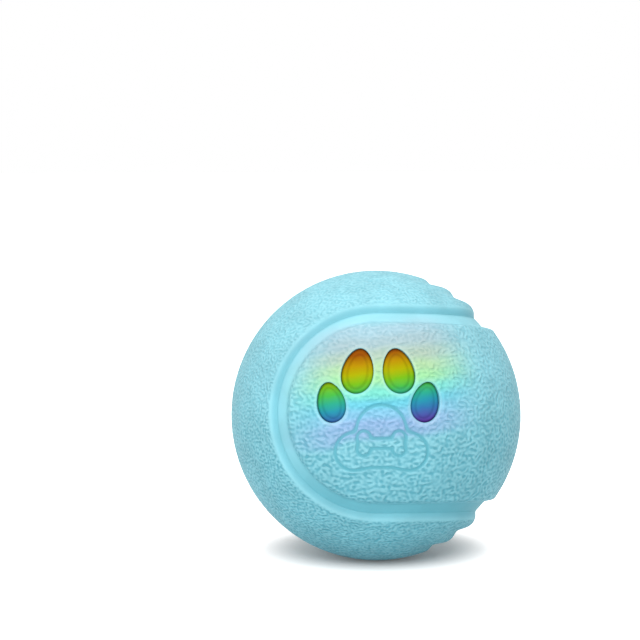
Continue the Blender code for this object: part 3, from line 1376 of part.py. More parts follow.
def build():
    """Make every piece of the ball."""
    clear_scene()
    rubber = material("blue_rubber", (0.33, 0.69, 0.78), 0.62)
    lens = material("clear_silicone", (0.92, 0.90, 0.62), 0.25, alpha=0.6)
    plastic = material("white_plastic", (0.86, 0.87, 0.88), 0.45)
    chassis_plastic = material("grey_plastic", (0.38, 0.41, 0.45), 0.5)
    seal_finish = material("seal_silicone", (0.80, 0.24, 0.18), 0.6)
    steel = material("bright_steel", (0.72, 0.73, 0.75), 0.28, 1.0)
    dark = material("cast_weight", (0.33, 0.34, 0.36), 0.42, 1.0)
    brass = material("brass", (0.80, 0.62, 0.28), 0.3, 1.0)
    gear_finish = material("gear_nylon", (0.90, 0.88, 0.80), 0.4)
    board_finish = material("green_board", (0.05, 0.30, 0.14), 0.4)
    foil = material("battery_foil", (0.60, 0.63, 0.68), 0.35, 1.0)
    led_finish = material("led_body", (0.95, 0.93, 0.80), 0.3)
    button_finish = material("button_silicone", (0.93, 0.94, 0.95), 0.5)
    guide_finish = material("guide", (0.5, 0.5, 0.5), 0.5)

    ball = empty("ball_frame")
    ball.rotation_euler = (BALL_ROLL, 0, 0)
    weight_axis = empty("weight_axis", parent=ball)
    hang = empty("weight_hang", parent=weight_axis)
    hang.rotation_euler = (-BALL_ROLL, 0, 0)
    compound_axis = empty("compound_axis", (0, *COMPOUND_AXIS), ball)
    motor_axis = empty("motor_axis", (0, *MOTOR_AXIS), ball)
    button_axis = empty("button_axis", (BUTTON_PLACE, 0, 0), ball)
    flap_axis = empty("flap_axis", (FLAP_HINGE_PLACE, FLAP_HINGE_HEIGHT, 0), ball)

    toe_tools = make_cover(ball, rubber, guide_finish)
    make_toes(ball, lens)
    make_core(ball, plastic, seal_finish, steel, guide_finish, toe_tools)
    make_chassis(ball, chassis_plastic, steel, guide_finish)
    guides = (weight_axis, hang, compound_axis, motor_axis)
    make_drive(ball, guides, (steel, brass, gear_finish, dark), guide_finish)
    make_battery(ball, chassis_plastic, foil, steel, guide_finish)
    make_lights(ball, board_finish, led_finish, steel, guide_finish)
    make_controls(
        ball,
        button_axis,
        flap_axis,
        (plastic, button_finish, steel, board_finish, rubber, brass),
        guide_finish,
    )


build()
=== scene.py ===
"""Interactive dog ball: the looks of every piece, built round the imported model.

Metres, +Z up, origin at the ball's centre. The pieces of the ball are shaped in the ball's own
frame, where the paw faces -Y, and then rolled back with it about X.
"""

from math import asin, cos, pi, radians, sin, sqrt

import bpy
import numpy as np
from mathutils import Matrix, Vector


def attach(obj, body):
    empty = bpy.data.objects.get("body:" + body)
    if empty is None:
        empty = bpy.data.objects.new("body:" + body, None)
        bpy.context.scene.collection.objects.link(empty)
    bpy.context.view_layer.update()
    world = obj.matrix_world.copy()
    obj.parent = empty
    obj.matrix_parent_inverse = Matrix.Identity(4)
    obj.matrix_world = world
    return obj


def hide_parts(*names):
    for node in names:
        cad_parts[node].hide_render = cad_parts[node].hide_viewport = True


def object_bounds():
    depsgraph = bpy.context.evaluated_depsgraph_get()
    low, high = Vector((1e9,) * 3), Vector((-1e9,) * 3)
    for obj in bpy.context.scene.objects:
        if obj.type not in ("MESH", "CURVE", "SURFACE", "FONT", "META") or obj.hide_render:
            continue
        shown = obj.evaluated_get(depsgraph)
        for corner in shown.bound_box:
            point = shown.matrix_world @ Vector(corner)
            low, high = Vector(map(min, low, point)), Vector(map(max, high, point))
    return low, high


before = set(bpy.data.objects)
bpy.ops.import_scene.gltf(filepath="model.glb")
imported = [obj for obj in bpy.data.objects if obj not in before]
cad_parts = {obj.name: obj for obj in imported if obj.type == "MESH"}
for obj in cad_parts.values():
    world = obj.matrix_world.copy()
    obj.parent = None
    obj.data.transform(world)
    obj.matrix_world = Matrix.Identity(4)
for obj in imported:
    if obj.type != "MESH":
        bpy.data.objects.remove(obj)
cad_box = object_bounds()
bpy.ops.object.select_all(action="DESELECT")


# The camera
# A long lens a little above the floor, with the ball right of and below the middle of the picture.
CAMERA_DISTANCE = 0.56
CAMERA_LENS = 113.5
CAMERA_ELEVATION = radians(8.9)
CAMERA_AZIMUTH = radians(-1.0)
CAMERA_NEAREST = 0.01
BALL_RIGHT_OF_MIDDLE = radians(1.58)
BALL_BELOW_MIDDLE = radians(2.69)

towards_camera = Vector(
    (
        sin(CAMERA_AZIMUTH) * cos(CAMERA_ELEVATION),
        -cos(CAMERA_AZIMUTH) * cos(CAMERA_ELEVATION),
        sin(CAMERA_ELEVATION),
    )
)
bpy.ops.object.camera_add(location=towards_camera * CAMERA_DISTANCE)
camera = bpy.context.object
camera.name = "camera"
camera.data.lens = CAMERA_LENS
camera.data.clip_start = CAMERA_NEAREST
aim = (-towards_camera).to_track_quat("-Z", "Y").to_matrix()
aim = aim @ Matrix.Rotation(BALL_RIGHT_OF_MIDDLE, 3, "Y")
aim = aim @ Matrix.Rotation(BALL_BELOW_MIDDLE, 3, "X")
camera.rotation_euler = aim.to_euler()
bpy.context.scene.camera = camera


# The floor and the studio light
# A white sheet that keeps the ball's soft shadow, with one large lamp overhead and one left of the
# camera. A painted glow, seen only by the camera, makes it pure white away from the ball and so
# trims the shadow to an ellipse. The sheet throws a bluer light back on the ball.
FLOOR_SIZE = 6.0
FLOOR_COLOUR = (0.94, 0.87, 0.85, 1.0)
FLOOR_BOUNCE_COLOUR = (0.36, 0.52, 0.55, 1.0)
FLOOR_LIFT = 0.06
WHITE_START = 0.0190
WHITE_END = 0.0450
SHADOW_BACK = 0.0120
SHADOW_DEPTH_SCALE = 1.15
FLOOR_ROUGHNESS = 0.9
FLOOR_SHEEN = 0.1
WHITE = (1.0, 1.0, 1.0, 1.0)
WORLD_LEVEL = 0.575
# Each lamp: its name, place, size and power
LAMPS = (
    ("top_lamp", (0.02, -0.15, 0.90), 0.60, 3.9),
    ("front_lamp", (-0.22, -0.92, 0.22), 0.70, 5.2),
)


def add_node(tree, kind, settings=None, values=None):
    """A shader node with its settings and the values of its sockets."""
    made = tree.nodes.new(kind)
    for key, value in (settings or {}).items():
        setattr(made, key, value)
    for key, value in (values or {}).items():
        made.inputs[key].default_value = value
    return made


def blend_colours(tree, share, low, high, how="MIX"):
    """The output of a colour mix; each side is a colour or another node's output."""
    mix = add_node(tree, "ShaderNodeMix", {"data_type": "RGBA", "blend_type": how})
    tree.links.new(share, mix.inputs[0])
    for socket, side in ((mix.inputs[6], low), (mix.inputs[7], high)):
        if isinstance(side, tuple):
            socket.default_value = side
        else:
            tree.links.new(side, socket)
    return mix.outputs[2]


def work_out(tree, operation, first, second=0.5, third=0.5):
    """The output of one sum; each part is a number or another node's output."""
    sum_node = add_node(tree, "ShaderNodeMath", {"operation": operation})
    for socket, side in zip(sum_node.inputs, (first, second, third)):
        if isinstance(side, (int, float)):
            socket.default_value = side
        else:
            tree.links.new(side, socket)
    return sum_node.outputs[0]


def fade(tree, value, low, high):
    """A soft step from 0 at one value to 1 at the other."""
    step = add_node(tree, "ShaderNodeMapRange", {"interpolation_type": "SMOOTHSTEP"})
    step.inputs["From Min"].default_value = low
    step.inputs["From Max"].default_value = high
    tree.links.new(value, step.inputs["Value"])
    return step.outputs["Result"]


def seen_share(tree):
    """1 for the rays that show the background: camera, glossy and transmission rays."""
    rays = add_node(tree, "ShaderNodeLightPath")
    seen = work_out(tree, "MAXIMUM", rays.outputs["Is Camera Ray"], rays.outputs["Is Glossy Ray"])
    return work_out(tree, "MAXIMUM", seen, rays.outputs["Is Transmission Ray"])


bpy.ops.mesh.primitive_plane_add(size=FLOOR_SIZE, location=(0, 0, cad_box[0].z))
floor = bpy.context.object
floor.name = "floor"
bpy.ops.object.transform_apply(location=True, rotation=True, scale=True)
paper = bpy.data.materials.new("white_paper")
paper.use_nodes = True
tree = paper.node_tree
sheet = tree.nodes["Principled BSDF"]
sheet.inputs["Roughness"].default_value = FLOOR_ROUGHNESS
sheet.inputs["Specular IOR Level"].default_value = FLOOR_SHEEN
seen = seen_share(tree)
tree.links.new(
    blend_colours(tree, seen, FLOOR_BOUNCE_COLOUR, FLOOR_COLOUR), sheet.inputs["Base Color"]
)
place = add_node(tree, "ShaderNodeTexCoord")
flatten = add_node(tree, "ShaderNodeMapping")
flatten.inputs["Scale"].default_value = (1, SHADOW_DEPTH_SCALE, 0)
flatten.inputs["Location"].default_value = (0, -SHADOW_BACK * SHADOW_DEPTH_SCALE, 0)
tree.links.new(place.outputs["Object"], flatten.inputs["Vector"])
away = add_node(tree, "ShaderNodeVectorMath", {"operation": "LENGTH"})
tree.links.new(flatten.outputs["Vector"], away.inputs[0])
# Painted light: the sheet's glow grows from little under the ball to full white beyond it
whiter = fade(tree, away.outputs["Value"], WHITE_START, WHITE_END)
lift = work_out(tree, "MULTIPLY_ADD", whiter, 1 - FLOOR_LIFT, FLOOR_LIFT)
glow = add_node(tree, "ShaderNodeEmission")
tree.links.new(work_out(tree, "MULTIPLY", lift, seen), glow.inputs["Strength"])
added = add_node(tree, "ShaderNodeAddShader")
tree.links.new(sheet.outputs[0], added.inputs[0])
tree.links.new(glow.outputs[0], added.inputs[1])
tree.links.new(added.outputs[0], tree.nodes["Material Output"].inputs["Surface"])
floor.data.materials.append(paper)

for lamp_name, lamp_place, lamp_size, lamp_power in LAMPS:
    bpy.ops.object.light_add(type="AREA", location=lamp_place)
    lamp = bpy.context.object
    lamp.name = lamp_name
    lamp.data.size = lamp_size
    lamp.data.energy = lamp_power
    lamp.rotation_euler = (-Vector(lamp_place)).to_track_quat("-Z", "Y").to_euler()

world = bpy.data.worlds.new("studio")
bpy.context.scene.world = world
world.use_nodes = True
tree = world.node_tree
around = tree.nodes["Background"]
around.inputs["Color"].default_value = WHITE
around.inputs["Strength"].default_value = WORLD_LEVEL
backdrop = add_node(tree, "ShaderNodeBackground", values={"Color": WHITE})
mixed = add_node(tree, "ShaderNodeMixShader")
tree.links.new(seen_share(tree), mixed.inputs[0])
tree.links.new(around.outputs[0], mixed.inputs[1])
tree.links.new(backdrop.outputs[0], mixed.inputs[2])
tree.links.new(mixed.outputs[0], tree.nodes["World Output"].inputs["Surface"])
bpy.context.scene.view_settings.view_transform = "Standard"


# The rubber of both panels
# Matt pale blue rubber, cast with a worm-like grain. The light of the lamps in the core round the
# toes is painted into its colour, in bands that follow the rainbow of the toes.
BALL_RADIUS = 0.0400
BALL_ROLL = radians(-10)
RUBBER_COLOUR = (0.330, 0.715, 0.810, 1.0)
RUBBER_SHADE_COLOUR = (0.105, 0.430, 0.520, 1.0)
VALLEY_SHADE_COLOUR = (0.42, 0.65, 0.70, 1.0)
TOE_HIGHLIGHT_COLOUR = (0.78, 0.94, 0.88, 1.0)
RUBBER_SHEEN = 0.32
RUBBER_ROUGHNESS = 0.50
ROUGHNESS_SPREAD = 0.16
WORN_SHARE = 0.90
WORN_SCALE = 130.0
WORN_EDGES = (0.35, 0.70)
TOE_HIGHLIGHT_SHARE = 0.14
PAINTED_SHADE_SHARE = 0.80
PAW_GRAIN_SCALE = 500.0
RIDGED_GRAIN_SCALE = 640.0
GRAIN_FREQUENCY = 1.5
# The signal at which the worms of the grain begin to rise and at which they are full
GRAIN_EDGES = (0.28, 0.68)
SPECKLE_SCALE = 2600.0
SPECKLE_HEIGHT = 0.14
BUMP_STRENGTH = 0.9
BUMP_DEPTH = 0.00020
# Painted shade darkens the grain's valleys, most low on the ball, least where the painted glow is
# strong
CONTRAST_TOP = 0.0150
CONTRAST_BOTTOM = -0.0150
CONTRAST_LEAST = 0.50
CONTRAST_LOST = 0.5

# The bands climb to the right by this slope, and they fade out at the sides and towards the back
BAND_SLOPE = 0.13
BAND_LOW = -0.0100
BAND_HIGH = 0.0280
BAND_STRAY = 0.005
BAND_STRAY_SCALE = 55.0
TINT_MIDDLE = 0.0015
TINT_START = 0.0100
TINT_END = 0.0280
TINT_FRONT = -0.0330
TINT_BACK = -0.0180
# Each stop of the tint: its height across the bands in metres, its colour and its strength
TINT_STOPS = (
    (-0.0090, (0.30, 0.46, 0.76), 0.0),
    (-0.0060, (0.38, 0.44, 0.78), 0.60),
    (-0.0033, (0.37, 0.46, 0.82), 0.70),
    (-0.0006, (0.27, 0.58, 0.86), 0.70),
    (0.0020, (0.13, 0.62, 0.77), 0.80),
    (0.0050, (0.19, 0.78, 0.58), 0.80),
    (0.0084, (0.40, 0.80, 0.27), 0.80),
    (0.0112, (0.50, 0.70, 0.28), 0.80),
    (0.0145, (0.48, 0.54, 0.38), 0.80),
    (0.0180, (0.42, 0.48, 0.50), 0.75),
    (0.0215, (0.44, 0.52, 0.60), 0.60),
    (0.0260, (0.50, 0.65, 0.75), 0.0),
)


def new_material(name):
    """A material, its node tree and its shader."""
    made = bpy.data.materials.new(name)
    made.use_nodes = True
    return made, made.node_tree, made.node_tree.nodes["Principled BSDF"]


def rolled_place(tree):
    """The place on a piece, turned back into the ball's own frame."""
    place = add_node(tree, "ShaderNodeTexCoord")
    unroll = add_node(tree, "ShaderNodeMapping", values={"Rotation": (-BALL_ROLL, 0, 0)})
    tree.links.new(place.outputs["Object"], unroll.inputs["Vector"])
    return unroll.outputs["Vector"]


def split_place(tree, place):
    """The X, Y and Z of a place."""
    parts = add_node(tree, "ShaderNodeSeparateXYZ")
    tree.links.new(place, parts.inputs["Vector"])
    return parts.outputs


def soft_noise(tree, place, scale, detail=2.0, roughness=0.5):
    """Cloudy noise from 0 to 1."""
    clouds = add_node(
        tree,
        "ShaderNodeTexNoise",
        values={"Scale": scale, "Detail": detail, "Roughness": roughness},
    )
    tree.links.new(place, clouds.inputs["Vector"])
    return clouds.outputs[0]


def painted_share(tree, name):
    """The number that a piece carries at each vertex under a name."""
    painted = add_node(tree, "ShaderNodeAttribute", {"attribute_name": name})
    return painted.outputs["Fac"]


def colour_bands(tree, height, low, high, stops, softness):
    """A ramp of colours between two heights; each stop has its height and its colour."""
    spread = high - low
    share = work_out(tree, "MULTIPLY_ADD", height, 1 / spread, -low / spread)
    ramp = add_node(tree, "ShaderNodeValToRGB")
    ramp.color_ramp.interpolation = softness
    marks = ramp.color_ramp.elements
    while len(marks) < len(stops):
        marks.new(0.5)
    for mark, (place_up, colour) in zip(marks, stops):
        mark.position = (place_up - low) / spread
        mark.color = colour
    tree.links.new(share, ramp.inputs["Fac"])
    return ramp


def raise_bump(tree, shader, height, strength, depth):
    """Give a shader a bump of some depth."""
    bump = add_node(tree, "ShaderNodeBump", values={"Strength": strength, "Distance": depth})
    tree.links.new(height, bump.inputs["Height"])
    tree.links.new(bump.outputs["Normal"], shader.inputs["Normal"])


def make_rubber(name, grain_scale):
    """The material of one panel."""
    made, tree, shader = new_material(name)
    shader.inputs["Specular IOR Level"].default_value = RUBBER_SHEEN
    place = rolled_place(tree)
    across, depth, height = split_place(tree, place)

    worms = add_node(
        tree,
        "ShaderNodeTexGabor",
        {"gabor_type": "3D"},
        {"Scale": grain_scale, "Frequency": GRAIN_FREQUENCY, "Anisotropy": 0.0},
    )
    tree.links.new(place, worms.inputs["Vector"])
    raised = fade(tree, worms.outputs["Value"], *GRAIN_EDGES)
    speckle = soft_noise(tree, place, SPECKLE_SCALE, roughness=0.6)

    # Painted light: the glow of the toe lamps, laid into the colour in sloping bands
    bands = work_out(tree, "MULTIPLY_ADD", across, -BAND_SLOPE, height)
    wander = soft_noise(tree, place, BAND_STRAY_SCALE)
    bands = work_out(tree, "MULTIPLY_ADD", wander, BAND_STRAY, bands)
    bands = work_out(tree, "SUBTRACT", bands, BAND_STRAY / 2)
    stops = [(place_up, (*colour, strength)) for place_up, colour, strength in TINT_STOPS]
    ramp = colour_bands(tree, bands, BAND_LOW, BAND_HIGH, stops, "EASE")
    off_side = work_out(tree, "ABSOLUTE", work_out(tree, "SUBTRACT", across, TINT_MIDDLE))
    near_toes = fade(tree, off_side, TINT_END, TINT_START)
    tint_share = work_out(tree, "MULTIPLY", near_toes, ramp.outputs["Alpha"])
    in_front = fade(tree, depth, TINT_BACK, TINT_FRONT)
    tint_share = work_out(tree, "MULTIPLY", tint_share, in_front)

    worn = fade(tree, soft_noise(tree, place, WORN_SCALE, detail=3.0), *WORN_EDGES)
    worn_colour = tuple(value * WORN_SHARE for value in RUBBER_COLOUR[:3]) + (1.0,)
    colour = blend_colours(tree, worn, RUBBER_COLOUR, worn_colour)
    colour = blend_colours(tree, tint_share, colour, ramp.outputs["Color"])
    # Painted shade in the valleys of the grain
    between = work_out(tree, "SUBTRACT", 1.0, raised)
    valley = work_out(tree, "MULTIPLY", between, painted_share(tree, "grain"))
    low_down = fade(tree, height, CONTRAST_TOP, CONTRAST_BOTTOM)
    contrast = work_out(tree, "MULTIPLY_ADD", low_down, 1 - CONTRAST_LEAST, CONTRAST_LEAST)
    washed = work_out(tree, "MULTIPLY_ADD", tint_share, -CONTRAST_LOST, 1.0)
    valley_shade_share = work_out(tree, "MULTIPLY", valley, work_out(tree, "MULTIPLY", contrast, washed))
    colour = blend_colours(tree, valley_shade_share, colour, VALLEY_SHADE_COLOUR, "MULTIPLY")
    # Painted highlight in a thin band just outside each toe hole
    toe_highlight = work_out(tree, "MULTIPLY", painted_share(tree, "toe_highlight"), TOE_HIGHLIGHT_SHARE)
    colour = blend_colours(tree, toe_highlight, colour, TOE_HIGHLIGHT_COLOUR)
    # Painted shade in the carved lines, along the channel, round the toe holes and on the lip
    carved_and_shaded = work_out(tree, "MULTIPLY", painted_share(tree, "carved_and_shaded"), PAINTED_SHADE_SHARE)
    colour = blend_colours(tree, carved_and_shaded, colour, RUBBER_SHADE_COLOUR)
    tree.links.new(colour, shader.inputs["Base Color"])

    rough = work_out(tree, "MULTIPLY_ADD", speckle, ROUGHNESS_SPREAD, RUBBER_ROUGHNESS)
    tree.links.new(rough, shader.inputs["Roughness"])
    grain_height = work_out(tree, "MULTIPLY_ADD", valley, -1.0, 1.0)
    fine_height = work_out(tree, "MULTIPLY_ADD", speckle, SPECKLE_HEIGHT, grain_height)
    raise_bump(tree, shader, fine_height, BUMP_STRENGTH, BUMP_DEPTH)
    return made


# The paw panel
# One of the two rubber panels that clasp the core: it carries the toes, a pad and a bone carved
# under them, and at the back the opening for the controls. It is cast, and glued to the core.
COVER_INNER = 0.03615
COVER_MIDDLE = (BALL_RADIUS + COVER_INNER) / 2
PANEL_GAP = 0.00005
GROOVE_DEPTH = 0.00185
CHANNEL_WIDTH = radians(4.3)
SHOULDER_WIDTH = radians(4.6)
SEAM_LATITUDE = radians(43.8)
# The axis, 1 for Y and 2 for Z, through the two caps of each panel
PAW_CAP_AXIS = 1
RIDGED_CAP_AXIS = 2
OUTER_STEPS = 8
INNER_STEPS = 6
CUT_THRESHOLD = 1e-7
WELD_DISTANCE = 0.00003

# The relief of the grain: its waves, how sharp the worms are and how far they widen
GRAIN_DEPTH = 0.00005
GRAIN_PITCH = 0.00150
GRAIN_WAVES = 44
GRAIN_SHARPNESS = 1.5
GRAIN_WIDENING = 0.25
PAW_SEED = 4
PAW_BORDER = radians(5.8)
PAW_BORDER_FADE = radians(0.8)

# Shade in the channel: along the seam, and more of it up the channel's wall low on the ball
CREASE_WIDTH = radians(1.2)
CREASE_SHARE = 0.5
LOW_CREASE_END = radians(6.6)
LOW_CREASE_SHARE = 0.75
LOW_SIDE_START = 0.2
LOW_SIDE_END = 0.62

# Each toe: its place across and up, its half width and half height, and its lean, left to right
TOES = (
    (-0.01248, 0.00260, 0.00388, 0.00540, radians(-16)),
    (-0.00536, 0.01088, 0.00420, 0.00624, radians(6)),
    (0.00536, 0.01088, 0.00420, 0.00624, radians(-6)),
    (0.01248, 0.00260, 0.00388, 0.00540, radians(16)),
)
TOE_SIDES = 72
TOE_EGG = 0.16
TOE_EDGE_SINK = 0.00030
TOE_EDGE_WIDTH = 0.00055
TOE_BARE_WIDTH = 0.0012
TOE_HOLE_BACK = 0.0300
TOE_HOLE_LENGTH = 0.0120
TOE_SHADOW_START = -0.0001
TOE_SHADOW_END = 0.00025
TOE_HIGHLIGHT_PLACE = 0.00045
TOE_HIGHLIGHT_WIDTH = 0.00035

# The carved pad is three lobes on a bar and the bone is a bar with four knobs. Each disc has its
# x, its z and its radius, and each bar has its half length, its radius and its z.
FIGURE_PLACE = (0.0008, -0.0066)
FIGURE_HALF_WIDTH = 0.0150
FIGURE_HALF_HEIGHT = 0.0110
PAD_LOBES = (
    (0.0000, 0.0020, 0.0064),
    (-0.0072, -0.0038, 0.0044),
    (0.0072, -0.0038, 0.0044),
)
PAD_BAR = (0.0072, 0.0042, -0.0036)
PAD_SOFTNESS = 0.0008
BONE_KNOBS = (
    (-0.0046, -0.0001, 0.00175),
    (-0.0046, -0.0031, 0.00175),
    (0.0046, -0.0001, 0.00175),
    (0.0046, -0.0031, 0.00175),
)
BONE_BAR = (0.0046, 0.0013, -0.0016)
BONE_SOFTNESS = 0.0003
CARVED_HALF_WIDTH = 0.00052
CARVED_FLOOR = CARVED_HALF_WIDTH * 0.35
CARVED_EDGE = CARVED_HALF_WIDTH * 1.25
CARVED_DEPTH = 0.00040
# The mesh is cut finer within this distance of a carved line
FINER_WIDTH = 0.0008
FINER_CUTS = 2

# The opening for the controls
RECESS_WIDTH = 0.0250
RECESS_HEIGHT = 0.0140
RECESS_CORNER = 0.0028
RECESS_BACK = 0.0300
RECESS_FRONT = 0.0440
CORNER_STEPS = 8


def pick(piece):
    """Select one piece alone and make it active."""
    bpy.ops.object.select_all(action="DESELECT")
    piece.select_set(True)
    bpy.context.view_layer.objects.active = piece


def vertex_places(piece):
    """All vertex places of a piece as an array."""
    flat = np.empty(len(piece.data.vertices) * 3)
    piece.data.vertices.foreach_get("co", flat)
    return flat.reshape(-1, 3)


def set_vertex_places(piece, places):
    """Write an array of vertex places back to a piece."""
    piece.data.vertices.foreach_set("co", places.ravel())
    piece.data.update()


def select_faces(piece, chosen):
    """Select the faces whose centres the test accepts, and go to edit mode."""
    bpy.context.view_layer.objects.active = piece
    bpy.ops.object.mode_set(mode="EDIT")
    bpy.context.tool_settings.mesh_select_mode = (False, False, True)
    bpy.ops.mesh.select_all(action="DESELECT")
    bpy.ops.object.mode_set(mode="OBJECT")
    centres = np.empty(len(piece.data.polygons) * 3)
    piece.data.polygons.foreach_get("center", centres)
    wanted = chosen(centres.reshape(-1, 3))
    piece.data.polygons.foreach_set("select", wanted)
    bpy.ops.object.mode_set(mode="EDIT")


def panel_layout(cap_axis):
    """The axis across a panel's band, the side of X = 0 that holds it, and its seam's latitude."""
    if cap_axis == PAW_CAP_AXIS:
        return RIDGED_CAP_AXIS, 1, SEAM_LATITUDE
    return PAW_CAP_AXIS, -1, pi / 2 - SEAM_LATITUDE


def seam_angle(places, cap_axis):
    """Angle in from the seam; the panel is a band on one side of X = 0 and two caps on the other."""
    way = places / np.linalg.norm(places, axis=1)[:, None]
    band_axis, side, latitude = panel_layout(cap_axis)
    band = latitude - np.arcsin(np.clip(np.abs(way[:, band_axis]), 0, 1))
    caps = latitude - np.arccos(np.clip(np.abs(way[:, cap_axis]), 0, 1))
    return np.where(side * way[:, 0] >= 0, band, caps)


def panel_skin(name, steps, radius, cap_axis):
    """One half of a ball, cut along the four arcs of the seam."""
    bpy.ops.mesh.primitive_ico_sphere_add(subdivisions=steps, radius=radius)
    skin = bpy.context.object
    skin.name = name
    band_axis, side, latitude = panel_layout(cap_axis)
    rim = asin(PANEL_GAP / 2 / BALL_RADIUS)
    cuts = [(0, 0.0, None)]
    for way in (-1, 1):
        cuts.append((band_axis, way * radius * sin(latitude - rim), side))
        cuts.append((cap_axis, way * radius * cos(latitude - rim), -side))
    for axis, place, half in cuts:
        select_faces(skin, lambda c: np.ones(len(c), bool) if half is None else half * c[:, 0] > 0)
        point = [0, 0, 0]
        normal = [0, 0, 0]
        point[axis] = place
        normal[axis] = 1
        bpy.ops.mesh.bisect(plane_co=point, plane_no=normal, threshold=CUT_THRESHOLD)
        bpy.ops.object.mode_set(mode="OBJECT")
    select_faces(skin, lambda c: seam_angle(c, cap_axis) < rim)
    bpy.ops.mesh.delete(type="FACE")
    bpy.ops.mesh.select_all(action="SELECT")
    bpy.ops.mesh.remove_doubles(threshold=WELD_DISTANCE)
    bpy.ops.object.mode_set(mode="OBJECT")
    return skin


def closed_panel(name, cap_axis):
    """A fine outer skin and a coarser inner one, joined all round by the rim."""
    outer = panel_skin(name, OUTER_STEPS, BALL_RADIUS, cap_axis)
    inner = panel_skin(name + "_inside", INNER_STEPS, COVER_INNER, cap_axis)
    bpy.ops.object.mode_set(mode="EDIT")
    bpy.ops.mesh.select_all(action="SELECT")
    bpy.ops.mesh.flip_normals()
    bpy.ops.object.mode_set(mode="OBJECT")
    bpy.ops.object.select_all(action="DESELECT")
    outer.select_set(True)
    inner.select_set(True)
    bpy.context.view_layer.objects.active = outer
    bpy.ops.object.join()
    bpy.ops.object.mode_set(mode="EDIT")
    bpy.context.tool_settings.mesh_select_mode = (False, True, False)
    bpy.ops.mesh.select_all(action="DESELECT")
    bpy.ops.mesh.select_non_manifold()
    bpy.ops.mesh.bridge_edge_loops()
    bpy.ops.mesh.select_all(action="SELECT")
    bpy.ops.mesh.quads_convert_to_tris()
    bpy.ops.mesh.normals_make_consistent(inside=False)
    bpy.ops.object.mode_set(mode="OBJECT")
    return outer


def soft_step(values, low, high):
    """0 below the low value, 1 above the high one, soft between."""
    share = np.clip((values - low) / (high - low), 0, 1)
    return share * share * (3 - 2 * share)


def cast_grain(places, seed):
    """A worm-like relief from 0 to 1: many waves of one length in random directions."""
    chance = np.random.default_rng(seed)
    ways = chance.normal(size=(GRAIN_WAVES, 3))
    ways *= (2 * pi / GRAIN_PITCH) / np.linalg.norm(ways, axis=1)[:, None]
    starts = chance.uniform(0, 2 * pi, GRAIN_WAVES)
    total = np.zeros(len(places))
    for way, start in zip(ways, starts):
        total += np.cos(places @ way + start)
    total /= total.std()
    return 0.5 + 0.5 * np.tanh(GRAIN_SHARPNESS * (total + GRAIN_WIDENING))


def toe_frame(toe):
    """Matrix whose Z runs out through a toe, and whose Y runs up its length."""
    across, up, _, _, lean = toe
    outward = Vector((across, -sqrt(BALL_RADIUS**2 - across**2 - up**2), up)).normalized()
    leaning = Vector((sin(lean), 0, cos(lean)))
    long_way = (leaning - outward * leaning.dot(outward)).normalized()
    return Matrix((long_way.cross(outward), long_way, outward)).transposed().to_4x4()


def toe_distance(places, toe):
    """About how far outside a toe's outline each place lies, less than 0 inside it."""
    _, _, half_width, half_height, _ = toe
    turned = places @ np.array(toe_frame(toe).to_3x3())
    up = turned[:, 1] / half_height
    across = turned[:, 0] / (half_width * (1 - TOE_EGG * np.clip(up, -1, 1)))
    outside = (np.hypot(across, up) - 1) * sqrt(half_width * half_height)
    return np.where(turned[:, 2] > 0, outside, 1.0)


def joined_softly(distances, softness):
    """Distance to the union of soft shapes."""
    total = sum(np.exp(-distance / softness) for distance in distances)
    return -softness * np.log(total)


def figure_distance(places):
    """How far each place lies from the middle of the nearest carved line."""
    across = places[:, 0] - FIGURE_PLACE[0]
    up = places[:, 2] - FIGURE_PLACE[1]
    outlines = []
    pad = (PAD_LOBES, PAD_BAR, PAD_SOFTNESS)
    bone = (BONE_KNOBS, BONE_BAR, BONE_SOFTNESS)
    for discs, (length, radius, middle), softness in (pad, bone):
        shapes = [np.hypot(np.clip(np.abs(across) - length, 0, None), up - middle) - radius]
        shapes += [np.hypot(across - x, up - z) - radius for x, z, radius in discs]
        outlines.append(np.abs(joined_softly(shapes, softness)))
    nearest = np.minimum(*outlines)
    return np.where(places[:, 1] < 0, nearest, 1.0)


def write_share(piece, name, shares):
    """A per-vertex number that the material reads."""
    layer = piece.data.attributes.new(name, "FLOAT", "POINT")
    layer.data.foreach_set("value", shares.astype(np.float32))


def combine(piece, other, operation="DIFFERENCE"):
    """Cut one closed shape out of a piece, or join it on, and drop the shape."""
    change = piece.modifiers.new("change", "BOOLEAN")
    change.operation = operation
    change.solver = "MANIFOLD"
    change.object = other
    pick(piece)
    bpy.ops.object.modifier_apply(modifier=change.name)
    bpy.data.objects.remove(other)


def toe_cutter(toe):
    """An egg-shaped plug from inside the core to outside the cover."""
    _, _, half_width, half_height, _ = toe
    bpy.ops.mesh.primitive_circle_add(vertices=TOE_SIDES, radius=1, fill_type="NGON")
    cutter = bpy.context.object
    places = vertex_places(cutter)
    places[:, 0] *= half_width * (1 - TOE_EGG * places[:, 1])
    places[:, 1] *= half_height
    places[:, 2] = TOE_HOLE_BACK
    set_vertex_places(cutter, places)
    bpy.ops.object.mode_set(mode="EDIT")
    bpy.ops.mesh.select_all(action="SELECT")
    through = (0, 0, TOE_HOLE_LENGTH)
    bpy.ops.mesh.extrude_region_move(TRANSFORM_OT_translate={"value": through})
    bpy.ops.mesh.select_all(action="SELECT")
    bpy.ops.mesh.normals_make_consistent(inside=False)
    bpy.ops.object.mode_set(mode="OBJECT")
    cutter.data.transform(toe_frame(toe))
    return cutter


